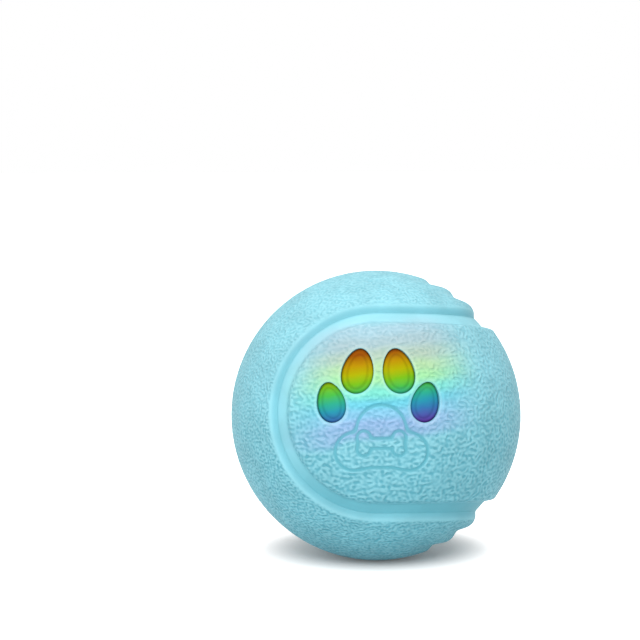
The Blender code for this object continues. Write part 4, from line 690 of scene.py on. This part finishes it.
def rounded_plate(name, width, height, corner, low, high, across=0.0):
    """A flat plate across Y with round corners."""
    bpy.ops.mesh.primitive_cube_add(size=1)
    plate = bpy.context.object
    plate.name = name
    stretch = Matrix.Diagonal((width, high - low, height, 1))
    plate.data.transform(Matrix.Translation((across, (low + high) / 2, 0)) @ stretch)
    bpy.ops.object.mode_set(mode="EDIT")
    bpy.context.tool_settings.mesh_select_mode = (False, True, False)
    bpy.ops.mesh.select_all(action="DESELECT")
    bpy.ops.object.mode_set(mode="OBJECT")
    for edge in plate.data.edges:
        first, second = (plate.data.vertices[index].co for index in edge.vertices)
        edge.select = abs(first.y - second.y) > (high - low) / 2
    bpy.ops.object.mode_set(mode="EDIT")
    bpy.ops.mesh.bevel(offset=corner, offset_type="OFFSET", segments=CORNER_STEPS)
    bpy.ops.object.mode_set(mode="OBJECT")
    return plate


def finish_piece(piece, finish, angle=radians(40)):
    """Roll a piece back with the ball, smooth it and give it its material."""
    piece.data.transform(Matrix.Rotation(BALL_ROLL, 4, "X"))
    piece.data.materials.clear()
    piece.data.materials.append(finish)
    pick(piece)
    bpy.ops.object.shade_smooth_by_angle(angle=angle)
    bpy.ops.object.select_all(action="DESELECT")


def paw_shares(ways):
    """At places on the full radius: angle from the seam, carving, distance to a toe, and grain."""
    angle = seam_angle(ways, PAW_CAP_AXIS)
    carved_and_shaded = 1 - soft_step(figure_distance(ways), CARVED_FLOOR, CARVED_EDGE)
    toe_edges = np.min([toe_distance(ways, toe) for toe in TOES], axis=0)
    grain = soft_step(angle, PAW_BORDER - PAW_BORDER_FADE, PAW_BORDER + PAW_BORDER_FADE)
    grain *= (1 - carved_and_shaded) * soft_step(toe_edges, 0.0, TOE_BARE_WIDTH)
    return angle, carved_and_shaded, toe_edges, grain


paw_panel = closed_panel("paw_panel_cast", PAW_CAP_AXIS)
select_faces(
    paw_panel,
    lambda c: (np.abs(c[:, 0] - FIGURE_PLACE[0]) < FIGURE_HALF_WIDTH)
    & (np.abs(c[:, 2] - FIGURE_PLACE[1]) < FIGURE_HALF_HEIGHT)
    & (c[:, 1] < 0)
    & (figure_distance(c) < FINER_WIDTH)
    & (np.linalg.norm(c, axis=1) > COVER_MIDDLE),
)
bpy.ops.mesh.subdivide(number_cuts=FINER_CUTS)
bpy.ops.mesh.select_all(action="SELECT")
bpy.ops.mesh.quads_convert_to_tris()
bpy.ops.object.mode_set(mode="OBJECT")

places = vertex_places(paw_panel)
reach = np.linalg.norm(places, axis=1)
outside = reach > COVER_MIDDLE
ways = places / reach[:, None]
angle, carved_and_shaded, toe_edges, grain = paw_shares(ways * BALL_RADIUS)
sink = GROOVE_DEPTH * (1 - soft_step(angle, CHANNEL_WIDTH, CHANNEL_WIDTH + SHOULDER_WIDTH))
sink += CARVED_DEPTH * carved_and_shaded
sink += TOE_EDGE_SINK * np.exp(-((np.clip(toe_edges, 0, None) / TOE_EDGE_WIDTH) ** 2))
sink += GRAIN_DEPTH * grain * (1 - cast_grain(ways * BALL_RADIUS, PAW_SEED))
places[outside] = (ways * (BALL_RADIUS - sink)[:, None])[outside]
set_vertex_places(paw_panel, places)

for toe in TOES:
    combine(paw_panel, toe_cutter(toe))
recess = rounded_plate(
    "recess", RECESS_WIDTH, RECESS_HEIGHT, RECESS_CORNER, RECESS_BACK, RECESS_FRONT
)
combine(paw_panel, recess)

places = vertex_places(paw_panel)
ways = places / np.linalg.norm(places, axis=1)[:, None] * BALL_RADIUS
angle, carved_and_shaded, toe_edges, grain = paw_shares(ways)
low_side = soft_step(-ways[:, 2] / BALL_RADIUS, LOW_SIDE_START, LOW_SIDE_END)
crease = np.maximum(
    CREASE_SHARE * (1 - soft_step(angle, 0, CREASE_WIDTH)),
    LOW_CREASE_SHARE * low_side * (1 - soft_step(angle, CHANNEL_WIDTH, LOW_CREASE_END)),
)
toe_shadow = 1 - soft_step(toe_edges, TOE_SHADOW_START, TOE_SHADOW_END)
# Painted highlight on the rubber just outside each toe hole
toe_highlight = np.exp(-(((toe_edges - TOE_HIGHLIGHT_PLACE) / TOE_HIGHLIGHT_WIDTH) ** 2))
write_share(paw_panel, "toe_highlight", toe_highlight)
write_share(paw_panel, "grain", grain)
# Painted shade: the carved lines, the channel's creases and the edges of the toe holes are darkened
write_share(paw_panel, "carved_and_shaded", np.maximum.reduce([carved_and_shaded, crease, toe_shadow]))
finish_piece(paw_panel, make_rubber("paw_rubber_cast", PAW_GRAIN_SCALE))
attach(paw_panel, "ball")
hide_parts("paw_panel")


# The ridged panel
# The other rubber panel. Its lip stands up sharply from the seam, and at the back of its right
# half soft ridges run beside the seam, one inside the other.
RIDGE_DEPTH = 0.00105
RIDGE_PITCH = radians(10.8)
RIDGE_COUNT = 2
LIP_WIDTH = radians(1.2)
RIDGED_SEED = 5
RIDGED_BORDER = radians(2.2)
RIDGED_BORDER_FADE = radians(0.6)
# The wave of the ridges is this much sharper than a cosine, and it fades in to the right and back
RIDGE_SHARPNESS = 1.3
RIDGES_RIGHT = (0.0, 0.3)
RIDGES_BACK = (-0.42, -0.06)
LIP_SHADE_SHARE = 0.6
LIP_SHADE_START = radians(0.3)
LIP_SHADE_END = radians(1.7)

ridged_panel = closed_panel("ridged_panel_cast", RIDGED_CAP_AXIS)
places = vertex_places(ridged_panel)
reach = np.linalg.norm(places, axis=1)
outside = reach > COVER_MIDDLE
ways = places / reach[:, None]
angle = np.clip(seam_angle(places, RIDGED_CAP_AXIS), 0, None)
wave = (1 + np.cos(2 * pi * angle / RIDGE_PITCH)) / 2
wave = np.where(angle < (RIDGE_COUNT + 0.5) * RIDGE_PITCH, wave, 0.0)
at_right_back = soft_step(ways[:, 0], *RIDGES_RIGHT) * soft_step(ways[:, 1], *RIDGES_BACK)
ridges = RIDGE_DEPTH * wave**RIDGE_SHARPNESS * at_right_back
sink = ridges + (GROOVE_DEPTH - ridges) * np.exp(-((angle / LIP_WIDTH) ** 2))
grain = soft_step(angle, RIDGED_BORDER - RIDGED_BORDER_FADE, RIDGED_BORDER + RIDGED_BORDER_FADE)
sink += GRAIN_DEPTH * grain * (1 - cast_grain(ways * BALL_RADIUS, RIDGED_SEED))
places[outside] = (ways * (BALL_RADIUS - sink)[:, None])[outside]
set_vertex_places(ridged_panel, places)
lip_shade = LIP_SHADE_SHARE * (1 - soft_step(angle, LIP_SHADE_START, LIP_SHADE_END))
write_share(ridged_panel, "grain", grain)
write_share(ridged_panel, "carved_and_shaded", lip_shade)
finish_piece(ridged_panel, make_rubber("ridged_rubber_cast", RIDGED_GRAIN_SCALE))
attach(ridged_panel, "ball")
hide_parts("ridged_panel")


# The toes
# Four plugs of clear silicone in the paw panel, lit from inside by one rainbow that runs across
# them all. Each has a raised oval on a sunk floor, cast in one piece.
TOE_CLEARANCE = 0.00006
TOE_BACK = 0.0322
TOE_SINK = 0.00120
TOE_FLOOR = BALL_RADIUS - TOE_SINK
TOE_SMOOTHING = radians(60)
# Each step of a toe's face: share of its width and height, rise from its floor, and shift up
TOE_FACE = (
    (0.96, 0.97, 0.00010, 0.0),
    (0.89, 0.92, 0.00018, 0.0),
    (0.78, 0.85, 0.00022, -0.00006),
    (0.64, 0.76, 0.00023, -0.00016),
    (0.57, 0.71, 0.00034, -0.00018),
    (0.50, 0.66, 0.00042, -0.00020),
    (0.36, 0.52, 0.00048, -0.00022),
    (0.16, 0.30, 0.00051, -0.00022),
)
# The raised oval: its share of the toe's width and height, and its share of shift down. Painted
# shade lies in a faint ring just outside the oval and in a dark rim round the toe.
TOE_OVAL = (0.57, 0.71, 0.03)
OVAL_RING_SHADE_SHARE = 0.35
OVAL_RING_PLACE = 1.06
OVAL_RING_WIDTH = 0.10
RIM_START = 0.84
RIM_END = 0.98
RIM_SHADE_COLOUR = (0.10, 0.12, 0.14, 1.0)
RIM_SHADE_SHARE = 0.72
TOE_GLOW = 0.06
TOE_SHEEN = 0.03
TOE_ROUGHNESS = 0.40
CLOUD_SCALE = 420.0
CLOUD_GLOSS = 0.15
CLOUD_BUMP_STRENGTH = 0.25
CLOUD_BUMP_DEPTH = 0.00008
RAINBOW_STRAY = 0.0010
RAINBOW_LOW = -0.0050
RAINBOW_HIGH = 0.0160
# Each stop of the rainbow: its height across the bands in metres and its colour
RAINBOW_STOPS = (
    (-0.0046, (0.131, 0.029, 0.287)),
    (-0.0026, (0.084, 0.082, 0.371)),
    (-0.0004, (0.037, 0.171, 0.404)),
    (0.0016, (0.023, 0.281, 0.390)),
    (0.0036, (0.028, 0.381, 0.240)),
    (0.0059, (0.068, 0.458, 0.061)),
    (0.0080, (0.171, 0.447, 0.010)),
    (0.0104, (0.394, 0.385, 0.001)),
    (0.0127, (0.443, 0.247, 0.001)),
    (0.0154, (0.316, 0.075, 0.001)),
)


def make_toe_glow():
    """Clear silicone with the bands of the rainbow, with painted shade round the rim of each toe."""
    made, tree, shader = new_material("lit_silicone")
    shader.inputs["Emission Strength"].default_value = TOE_GLOW
    shader.inputs["Specular IOR Level"].default_value = TOE_SHEEN
    across, _, height = split_place(tree, rolled_place(tree))
    place = add_node(tree, "ShaderNodeTexCoord")
    cloud = soft_noise(tree, place.outputs["Object"], CLOUD_SCALE)
    bands = work_out(tree, "MULTIPLY_ADD", across, -BAND_SLOPE, height)
    bands = work_out(tree, "MULTIPLY_ADD", cloud, RAINBOW_STRAY, bands)
    bands = work_out(tree, "SUBTRACT", bands, RAINBOW_STRAY / 2)
    stops = [(place_up, (*colour, 1.0)) for place_up, colour in RAINBOW_STOPS]
    ramp = colour_bands(tree, bands, RAINBOW_LOW, RAINBOW_HIGH, stops, "LINEAR")
    rim_shade_share = work_out(tree, "MULTIPLY", painted_share(tree, "rim"), RIM_SHADE_SHARE)
    shade = blend_colours(tree, rim_shade_share, ramp.outputs["Color"], RIM_SHADE_COLOUR, "MULTIPLY")
    tree.links.new(shade, shader.inputs["Base Color"])
    tree.links.new(shade, shader.inputs["Emission Color"])
    rough = work_out(tree, "MULTIPLY_ADD", cloud, CLOUD_GLOSS, TOE_ROUGHNESS)
    tree.links.new(rough, shader.inputs["Roughness"])
    raise_bump(tree, shader, cloud, CLOUD_BUMP_STRENGTH, CLOUD_BUMP_DEPTH)
    return made


def toe_window(number, toe):
    """A toe's plug, built up from its back by extruding and drawing in its face."""
    _, _, half_width, half_height, _ = toe
    bpy.ops.mesh.primitive_circle_add(vertices=TOE_SIDES, radius=1, fill_type="NGON")
    window = bpy.context.object
    window.name = f"toe_window_{number}"
    places = vertex_places(window)
    places[:, 0] *= (half_width - TOE_CLEARANCE) * (1 - TOE_EGG * places[:, 1])
    places[:, 1] *= half_height - TOE_CLEARANCE
    places[:, 2] = TOE_BACK
    set_vertex_places(window, places)
    bpy.ops.object.mode_set(mode="EDIT")
    bpy.context.tool_settings.mesh_select_mode = (False, False, True)
    bpy.ops.mesh.select_all(action="SELECT")
    bpy.ops.mesh.extrude_region_move(
        TRANSFORM_OT_translate={"value": (0, 0, TOE_FLOOR - TOE_BACK)}
    )
    last = (1.0, 1.0, 0.0, 0.0)
    for step in TOE_FACE:
        wide, tall, rise, shift = step
        move = (0, shift - last[3], rise - last[2])
        bpy.ops.mesh.extrude_region_move(TRANSFORM_OT_translate={"value": move})
        draw_in = (wide / last[0], tall / last[1], 1)
        bpy.ops.transform.resize(value=draw_in, center_override=(0, shift, TOE_FLOOR + rise))
        last = step
    bpy.ops.mesh.poke()
    bpy.ops.mesh.select_all(action="SELECT")
    bpy.ops.mesh.normals_make_consistent(inside=False)
    bpy.ops.object.mode_set(mode="OBJECT")
    places = vertex_places(window)
    up = places[:, 1] / half_height
    across = places[:, 0] / (half_width * (1 - TOE_EGG * np.clip(up, -1, 1)))
    oval = np.hypot(across / TOE_OVAL[0], (up + TOE_OVAL[2]) / TOE_OVAL[1])
    # Painted shade: a faint ring round the raised oval and a dark rim round the toe's edge
    ring = OVAL_RING_SHADE_SHARE * np.exp(-(((oval - OVAL_RING_PLACE) / OVAL_RING_WIDTH) ** 2))
    rim = soft_step(np.hypot(across, up), RIM_START, RIM_END)
    write_share(window, "rim", np.maximum(rim, ring))
    window.data.transform(toe_frame(toe))
    return window


toe_glow = make_toe_glow()
for number, toe in enumerate(TOES, 1):
    window = toe_window(number, toe)
    finish_piece(window, toe_glow, TOE_SMOOTHING)
    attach(window, "ball")
    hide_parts(f"toe_lens_{number}")


# The hard core
# Two halves of moulded grey plastic closed on a soft ring seal by four steel screws. The cover
# hides them all.
UNEVEN_EDGES = (0.3, 0.7)
GLOSS_SPREAD = 0.2
FINISH_BUMP_STRENGTH = 0.5


def plain_finish(name, colour, roughness, metallic=0.0, pitch=0.0012, depth=0.00003, variation=0.12):
    """A moulded or worked surface: slightly uneven colour, gloss and relief."""
    made, tree, shader = new_material(name)
    shader.inputs["Metallic"].default_value = metallic
    place = add_node(tree, "ShaderNodeTexCoord")
    uneven = soft_noise(tree, place.outputs["Object"], 1 / pitch, detail=3.0, roughness=0.6)
    darker = tuple(value * (1 - variation) for value in colour) + (1.0,)
    paler = tuple(min(1.0, value * (1 + variation)) for value in colour) + (1.0,)
    mixed_colour = blend_colours(tree, fade(tree, uneven, *UNEVEN_EDGES), darker, paler)
    tree.links.new(mixed_colour, shader.inputs["Base Color"])
    rough = work_out(tree, "MULTIPLY_ADD", uneven, GLOSS_SPREAD, roughness - GLOSS_SPREAD / 2)
    tree.links.new(rough, shader.inputs["Roughness"])
    raise_bump(tree, shader, uneven, FINISH_BUMP_STRENGTH, depth)
    return made


def metal_finish(name, colour, roughness, pitch, variation, metallic=1.0, depth=0.00001):
    """A metal surface; its relief is finer than that of a moulded one."""
    return plain_finish(name, colour, roughness, metallic, pitch, depth, variation)


def dress(finish, *names):
    """Give carried-over pieces of the model their finish."""
    for name in names:
        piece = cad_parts[name]
        for slot in piece.material_slots:
            slot.material = finish


core_plastic = plain_finish("core_plastic_moulded", (0.42, 0.45, 0.47), roughness=0.55)
dress(core_plastic, "front_core_shell", "rear_core_shell")
seal_silicone = plain_finish("seal_silicone_cast", (0.55, 0.10, 0.06), roughness=0.6)
dress(seal_silicone, "core_seal")
screw_steel = metal_finish(
    "screw_steel_plated", (0.62, 0.62, 0.60), roughness=0.32, pitch=0.0008, variation=0.08
)
dress(screw_steel, "core_screw_1", "core_screw_2", "core_screw_3", "core_screw_4")


# The lights
# A round laminate board behind the paw, held by two screws, with one lamp under each toe.
board_laminate = plain_finish(
    "board_laminate", (0.03, 0.16, 0.08), roughness=0.4, pitch=0.0006
)
dress(board_laminate, "led_board")
dress(screw_steel, "led_board_screw_1", "led_board_screw_2")
led_body = plain_finish("led_body_cast", (0.85, 0.82, 0.55), roughness=0.3, pitch=0.0004)
dress(led_body, "toe_led_1", "toe_led_2", "toe_led_3", "toe_led_4")


# The rear controls
# A small plastic plate in the back of the paw panel, with a soft power button, and a charging
# socket under a rubber flap that hinges at one end. Their switch, sensor and board lie behind it.
FIT = 0.0003
ROUND_SIDES = 96
ROD_SIDES = 48
SOFT_STEPS = 3
HARD_SMOOTHING = radians(35)
FLAP_SMOOTHING = radians(45)

# The plate, and the lip behind it that goes into the core. A size is a width, a height and a
# corner radius, and a back, a bottom, a face or a mouth is a distance behind the ball's middle.
PLATE_WIDTH = 0.0244
PLATE_HEIGHT = 0.0134
PLATE_CORNER = 0.0025
PLATE_BACK = 0.03575
PLATE_FACE = 0.0372
PLATE_EDGE = 0.00012
LIP_SIZE = (0.0198, 0.0096, 0.0014)
LIP_HOLLOW = (0.0182, 0.0080, 0.0010)
LIP_BACK = 0.03395
BUTTON_ACROSS = 0.0052
BUTTON_HOLE = 0.0033
BUTTON_HOLE_LENGTH = 0.0032

# The socket: its drawn shell, its throat and the tongue in the throat
SOCKET_ACROSS = -0.0045
SOCKET_SIZE = (0.00894, 0.00326, 0.00146)
SOCKET_THROAT = (0.00830, 0.00262, 0.00114)
SOCKET_BACK = 0.0273
SOCKET_BOTTOM = 0.0300
SOCKET_MOUTH = 0.0366
SOCKET_EDGE = 0.00006
TONGUE_SIZE = (0.00662, 0.00070, 0.00017)
TONGUE_SET_BACK = 0.0012

# The flap: a bead that turns in a groove of the plate, a web, the lid, its plug and its tab
HINGE_ACROSS = -0.0109
HINGE_DEPTH = 0.03735
BEAD_RADIUS = 0.00075
BEAD_EDGE = 0.00018
FLAP_BACK = 0.0375
FLAP_FACE = 0.0385
FLAP_SIZE = (0.01168, 0.0074, 0.00185)
FLAP_ACROSS = -0.00454
FLAP_EDGE = 0.00028
WEB_SIZE = (0.0037, 0.00444, 0.0006)
WEB_BACK = 0.0376
WEB_FACE = 0.03792
PLUG_SIZE = (0.0076, 0.00244, 0.00097)
PLUG_BACK = 0.0369
TAB_SIZE = (0.0012, 0.0037, 0.00054)
TAB_FACE = 0.0391
TAB_ACROSS = 0.0007
TAB_EDGE = 0.00018
IN_FLAP = 0.0380

# The button from its inner end out: radius and depth
BUTTON_PROFILE = (
    (0.0014, 0.03290),
    (0.0014, 0.03445),
    (0.0036, 0.03445),
    (0.0036, 0.03545),
    (0.0030, 0.03545),
    (0.0030, 0.03780),
    (0.00297, 0.03795),
    (0.00288, 0.03807),
    (0.00275, 0.03815),
    (0.00260, 0.03819),
    (0.00245, 0.03820),
)
# Rings this far apart divide the button's face down to its middle, so that it can take the mark
FACE_RING_STEP = 0.0001
FACE_MIDDLE = 0.00015
# The mark pressed into the button: a ring with a gap on top, and a bar in the gap
MARK_RADIUS = 0.00120
MARK_HALF_WIDTH = 0.00016
MARK_FLOOR = MARK_HALF_WIDTH * 0.6
MARK_EDGE = MARK_HALF_WIDTH * 1.3
MARK_HALF_GAP = 0.00046
MARK_BAR_LOW = 0.00035
MARK_DEPTH = 0.00014
MARK_COLOUR = (0.05, 0.24, 0.32, 1.0)


def soften(piece, width, angle=radians(50)):
    """Round every sharp edge of a piece."""
    change = piece.modifiers.new("soft", "BEVEL")
    change.width = width
    change.segments = SOFT_STEPS
    change.limit_method = "ANGLE"
    change.angle_limit = angle
    pick(piece)
    bpy.ops.object.modifier_apply(modifier=change.name)


def upright_rod(name, radius, length, across, depth):
    """A round rod along Z."""
    bpy.ops.mesh.primitive_cylinder_add(vertices=ROD_SIDES, radius=radius, depth=length)
    rod = bpy.context.object
    rod.name = name
    rod.data.transform(Matrix.Translation((across, depth, 0)))
    return rod


plate = rounded_plate(
    "control_plate_moulded", PLATE_WIDTH, PLATE_HEIGHT, PLATE_CORNER, PLATE_BACK, PLATE_FACE
)
lip = rounded_plate("lip", *LIP_SIZE, LIP_BACK, PLATE_BACK + FIT)
combine(lip, rounded_plate("hollow", *LIP_HOLLOW, LIP_BACK - FIT, PLATE_BACK + 2 * FIT))
combine(plate, lip, "UNION")
port = rounded_plate(
    "port",
    SOCKET_SIZE[0] + 2 * FIT,
    SOCKET_SIZE[1] + 2 * FIT,
    SOCKET_SIZE[2] + FIT,
    PLATE_BACK - FIT,
    PLATE_FACE + FIT,
    SOCKET_ACROSS,
)
combine(plate, port)
bpy.ops.mesh.primitive_cylinder_add(
    vertices=ROUND_SIDES, radius=BUTTON_HOLE, depth=BUTTON_HOLE_LENGTH
)
button_hole = bpy.context.object
button_hole.data.transform(Matrix.Rotation(pi / 2, 4, "X"))
button_hole.data.transform(Matrix.Translation((BUTTON_ACROSS, (PLATE_BACK + PLATE_FACE) / 2, 0)))
combine(plate, button_hole)
groove_length = FLAP_SIZE[1] + 2 * FIT
groove = upright_rod("groove", BEAD_RADIUS + FIT, groove_length, HINGE_ACROSS, HINGE_DEPTH)
combine(plate, groove)
soften(plate, PLATE_EDGE)
plate_plastic = plain_finish(
    "plate_plastic_moulded", (0.16, 0.46, 0.56), roughness=0.5, pitch=0.0005
)
finish_piece(plate, plate_plastic, HARD_SMOOTHING)
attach(plate, "ball")
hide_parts("control_plate")

bpy.ops.mesh.primitive_circle_add(vertices=ROUND_SIDES, radius=1, fill_type="NGON")
button = bpy.context.object
button.name = "power_button_moulded"
profile = list(BUTTON_PROFILE)
while profile[-1][0] > FACE_MIDDLE:
    profile.append((profile[-1][0] - FACE_RING_STEP, profile[-1][1]))
first_radius, first_depth = profile[0]
button.data.transform(Matrix.Diagonal((first_radius, first_radius, 1, 1)))
bpy.ops.object.mode_set(mode="EDIT")
bpy.context.tool_settings.mesh_select_mode = (False, False, True)
bpy.ops.mesh.select_all(action="SELECT")
for (last_radius, last_depth), (radius, depth) in zip(profile, profile[1:]):
    rise = (0, 0, depth - last_depth)
    bpy.ops.mesh.extrude_region_move(TRANSFORM_OT_translate={"value": rise})
    draw_in = (radius / last_radius, radius / last_radius, 1)
    bpy.ops.transform.resize(value=draw_in, center_override=(0, 0, depth - first_depth))
bpy.ops.mesh.poke()
bpy.ops.mesh.select_all(action="SELECT")
bpy.ops.mesh.normals_make_consistent(inside=False)
bpy.ops.object.mode_set(mode="OBJECT")
places = vertex_places(button)
across = places[:, 0]
up = -places[:, 1]
in_gap = (np.abs(across) < MARK_HALF_GAP) & (up > 0)
from_ring = np.where(in_gap, 1.0, np.abs(np.hypot(across, up) - MARK_RADIUS))
along_bar = np.clip(up, MARK_BAR_LOW, MARK_RADIUS + MARK_HALF_WIDTH)
from_bar = np.hypot(across, up - along_bar)
mark = 1 - soft_step(np.minimum(from_ring, from_bar), MARK_FLOOR, MARK_EDGE)
mark *= places[:, 2] > BUTTON_PROFILE[-1][1] - first_depth - FIT
places[:, 2] -= MARK_DEPTH * mark
set_vertex_places(button, places)
write_share(button, "mark", mark)
button.data.transform(Matrix.Translation((0, 0, first_depth)))
button.data.transform(Matrix.Rotation(-pi / 2, 4, "X"))
button.data.transform(Matrix.Translation((BUTTON_ACROSS, 0, 0)))
button_silicone = plain_finish(
    "button_silicone_cast", (0.82, 0.88, 0.90), roughness=0.55, pitch=0.0007
)
tree = button_silicone.node_tree
shader = tree.nodes["Principled BSDF"]
bare = shader.inputs["Base Color"].links[0].from_socket
marked = blend_colours(tree, painted_share(tree, "mark"), bare, MARK_COLOUR)
tree.links.new(marked, shader.inputs["Base Color"])
finish_piece(button, button_silicone)
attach(button, "button_body")
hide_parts("power_button")

socket = rounded_plate("usb_socket_drawn", *SOCKET_SIZE, SOCKET_BACK, SOCKET_MOUTH, SOCKET_ACROSS)
throat = rounded_plate(
    "throat", *SOCKET_THROAT, SOCKET_BOTTOM, SOCKET_MOUTH + FIT, SOCKET_ACROSS
)
combine(socket, throat)
tongue_end = SOCKET_MOUTH - TONGUE_SET_BACK
tongue = rounded_plate(
    "tongue", *TONGUE_SIZE, SOCKET_BOTTOM - FIT, tongue_end, SOCKET_ACROSS
)
combine(socket, tongue, "UNION")
soften(socket, SOCKET_EDGE)
bright_steel = metal_finish(
    "bright_steel_drawn", (0.72, 0.72, 0.70), roughness=0.25, pitch=0.0006, variation=0.05
)
finish_piece(socket, bright_steel, HARD_SMOOTHING)
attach(socket, "ball")
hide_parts("usb_socket")

flap = rounded_plate("port_flap_moulded", *FLAP_SIZE, FLAP_BACK, FLAP_FACE, FLAP_ACROSS)
soften(flap, FLAP_EDGE)
bead = upright_rod("bead", BEAD_RADIUS, FLAP_SIZE[1], HINGE_ACROSS, HINGE_DEPTH)
soften(bead, BEAD_EDGE)
combine(flap, bead, "UNION")
web = rounded_plate("web", *WEB_SIZE, WEB_BACK, WEB_FACE, HINGE_ACROSS + WEB_SIZE[0] / 2)
combine(flap, web, "UNION")
plug = rounded_plate("plug", *PLUG_SIZE, PLUG_BACK, IN_FLAP, SOCKET_ACROSS)
combine(flap, plug, "UNION")
tab = rounded_plate("tab", *TAB_SIZE, IN_FLAP, TAB_FACE, TAB_ACROSS)
soften(tab, TAB_EDGE)
combine(flap, tab, "UNION")
flap_silicone = plain_finish(
    "flap_silicone_cast", (0.24, 0.62, 0.72), roughness=0.6, pitch=0.0007
)
finish_piece(flap, flap_silicone, FLAP_SMOOTHING)
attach(flap, "flap_body")
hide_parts("port_flap")

dress(bright_steel, "vibration_sensor")
switch_plastic = plain_finish(
    "switch_body", (0.05, 0.05, 0.055), roughness=0.45, pitch=0.0006
)
dress(switch_plastic, "power_switch")
dress(board_laminate, "control_board")
dress(screw_steel, "control_board_screw_1", "control_board_screw_2")


# The drive
# A moulded frame in the core carries a small motor and two steps of gears. They turn the shaft,
# from which a cast weight hangs, and so the ball rolls.
chassis_plastic = plain_finish("chassis_plastic_moulded", (0.70, 0.70, 0.68), roughness=0.5)
dress(chassis_plastic, "chassis_frame", "gearbox_cover")
dress(bright_steel, "main_shaft", "compound_gear_pin")
motor_steel = metal_finish(
    "motor_can_steel", (0.55, 0.55, 0.54), roughness=0.35, pitch=0.0008, variation=0.06
)
dress(motor_steel, "motor")
brass = metal_finish(
    "brass_turned", (0.72, 0.52, 0.22), roughness=0.3, pitch=0.0005, variation=0.08
)
dress(brass, "motor_pinion", "left_bush", "right_bush")
gear_nylon = plain_finish("gear_nylon_moulded", (0.82, 0.80, 0.72), roughness=0.42)
dress(gear_nylon, "compound_gear", "output_gear")
cast_weight = metal_finish(
    "cast_zinc",
    (0.34, 0.34, 0.35),
    roughness=0.55,
    pitch=0.0010,
    variation=0.15,
    depth=0.00004,
)
dress(cast_weight, "eccentric_weight")
dress(screw_steel, "gearbox_screw_1", "gearbox_screw_2", "gearbox_screw_3", "weight_set_screw")


# The power
# A flat lithium cell in silver foil, clasped in a holder that two screws fix to the frame.
battery_foil = metal_finish(
    "battery_foil",
    (0.60, 0.62, 0.64),
    roughness=0.35,
    pitch=0.0015,
    variation=0.06,
    metallic=0.6,
    depth=0.00003,
)
dress(battery_foil, "battery_cell")
dress(chassis_plastic, "battery_holder")
dress(screw_steel, "battery_holder_screw_1", "battery_holder_screw_2")
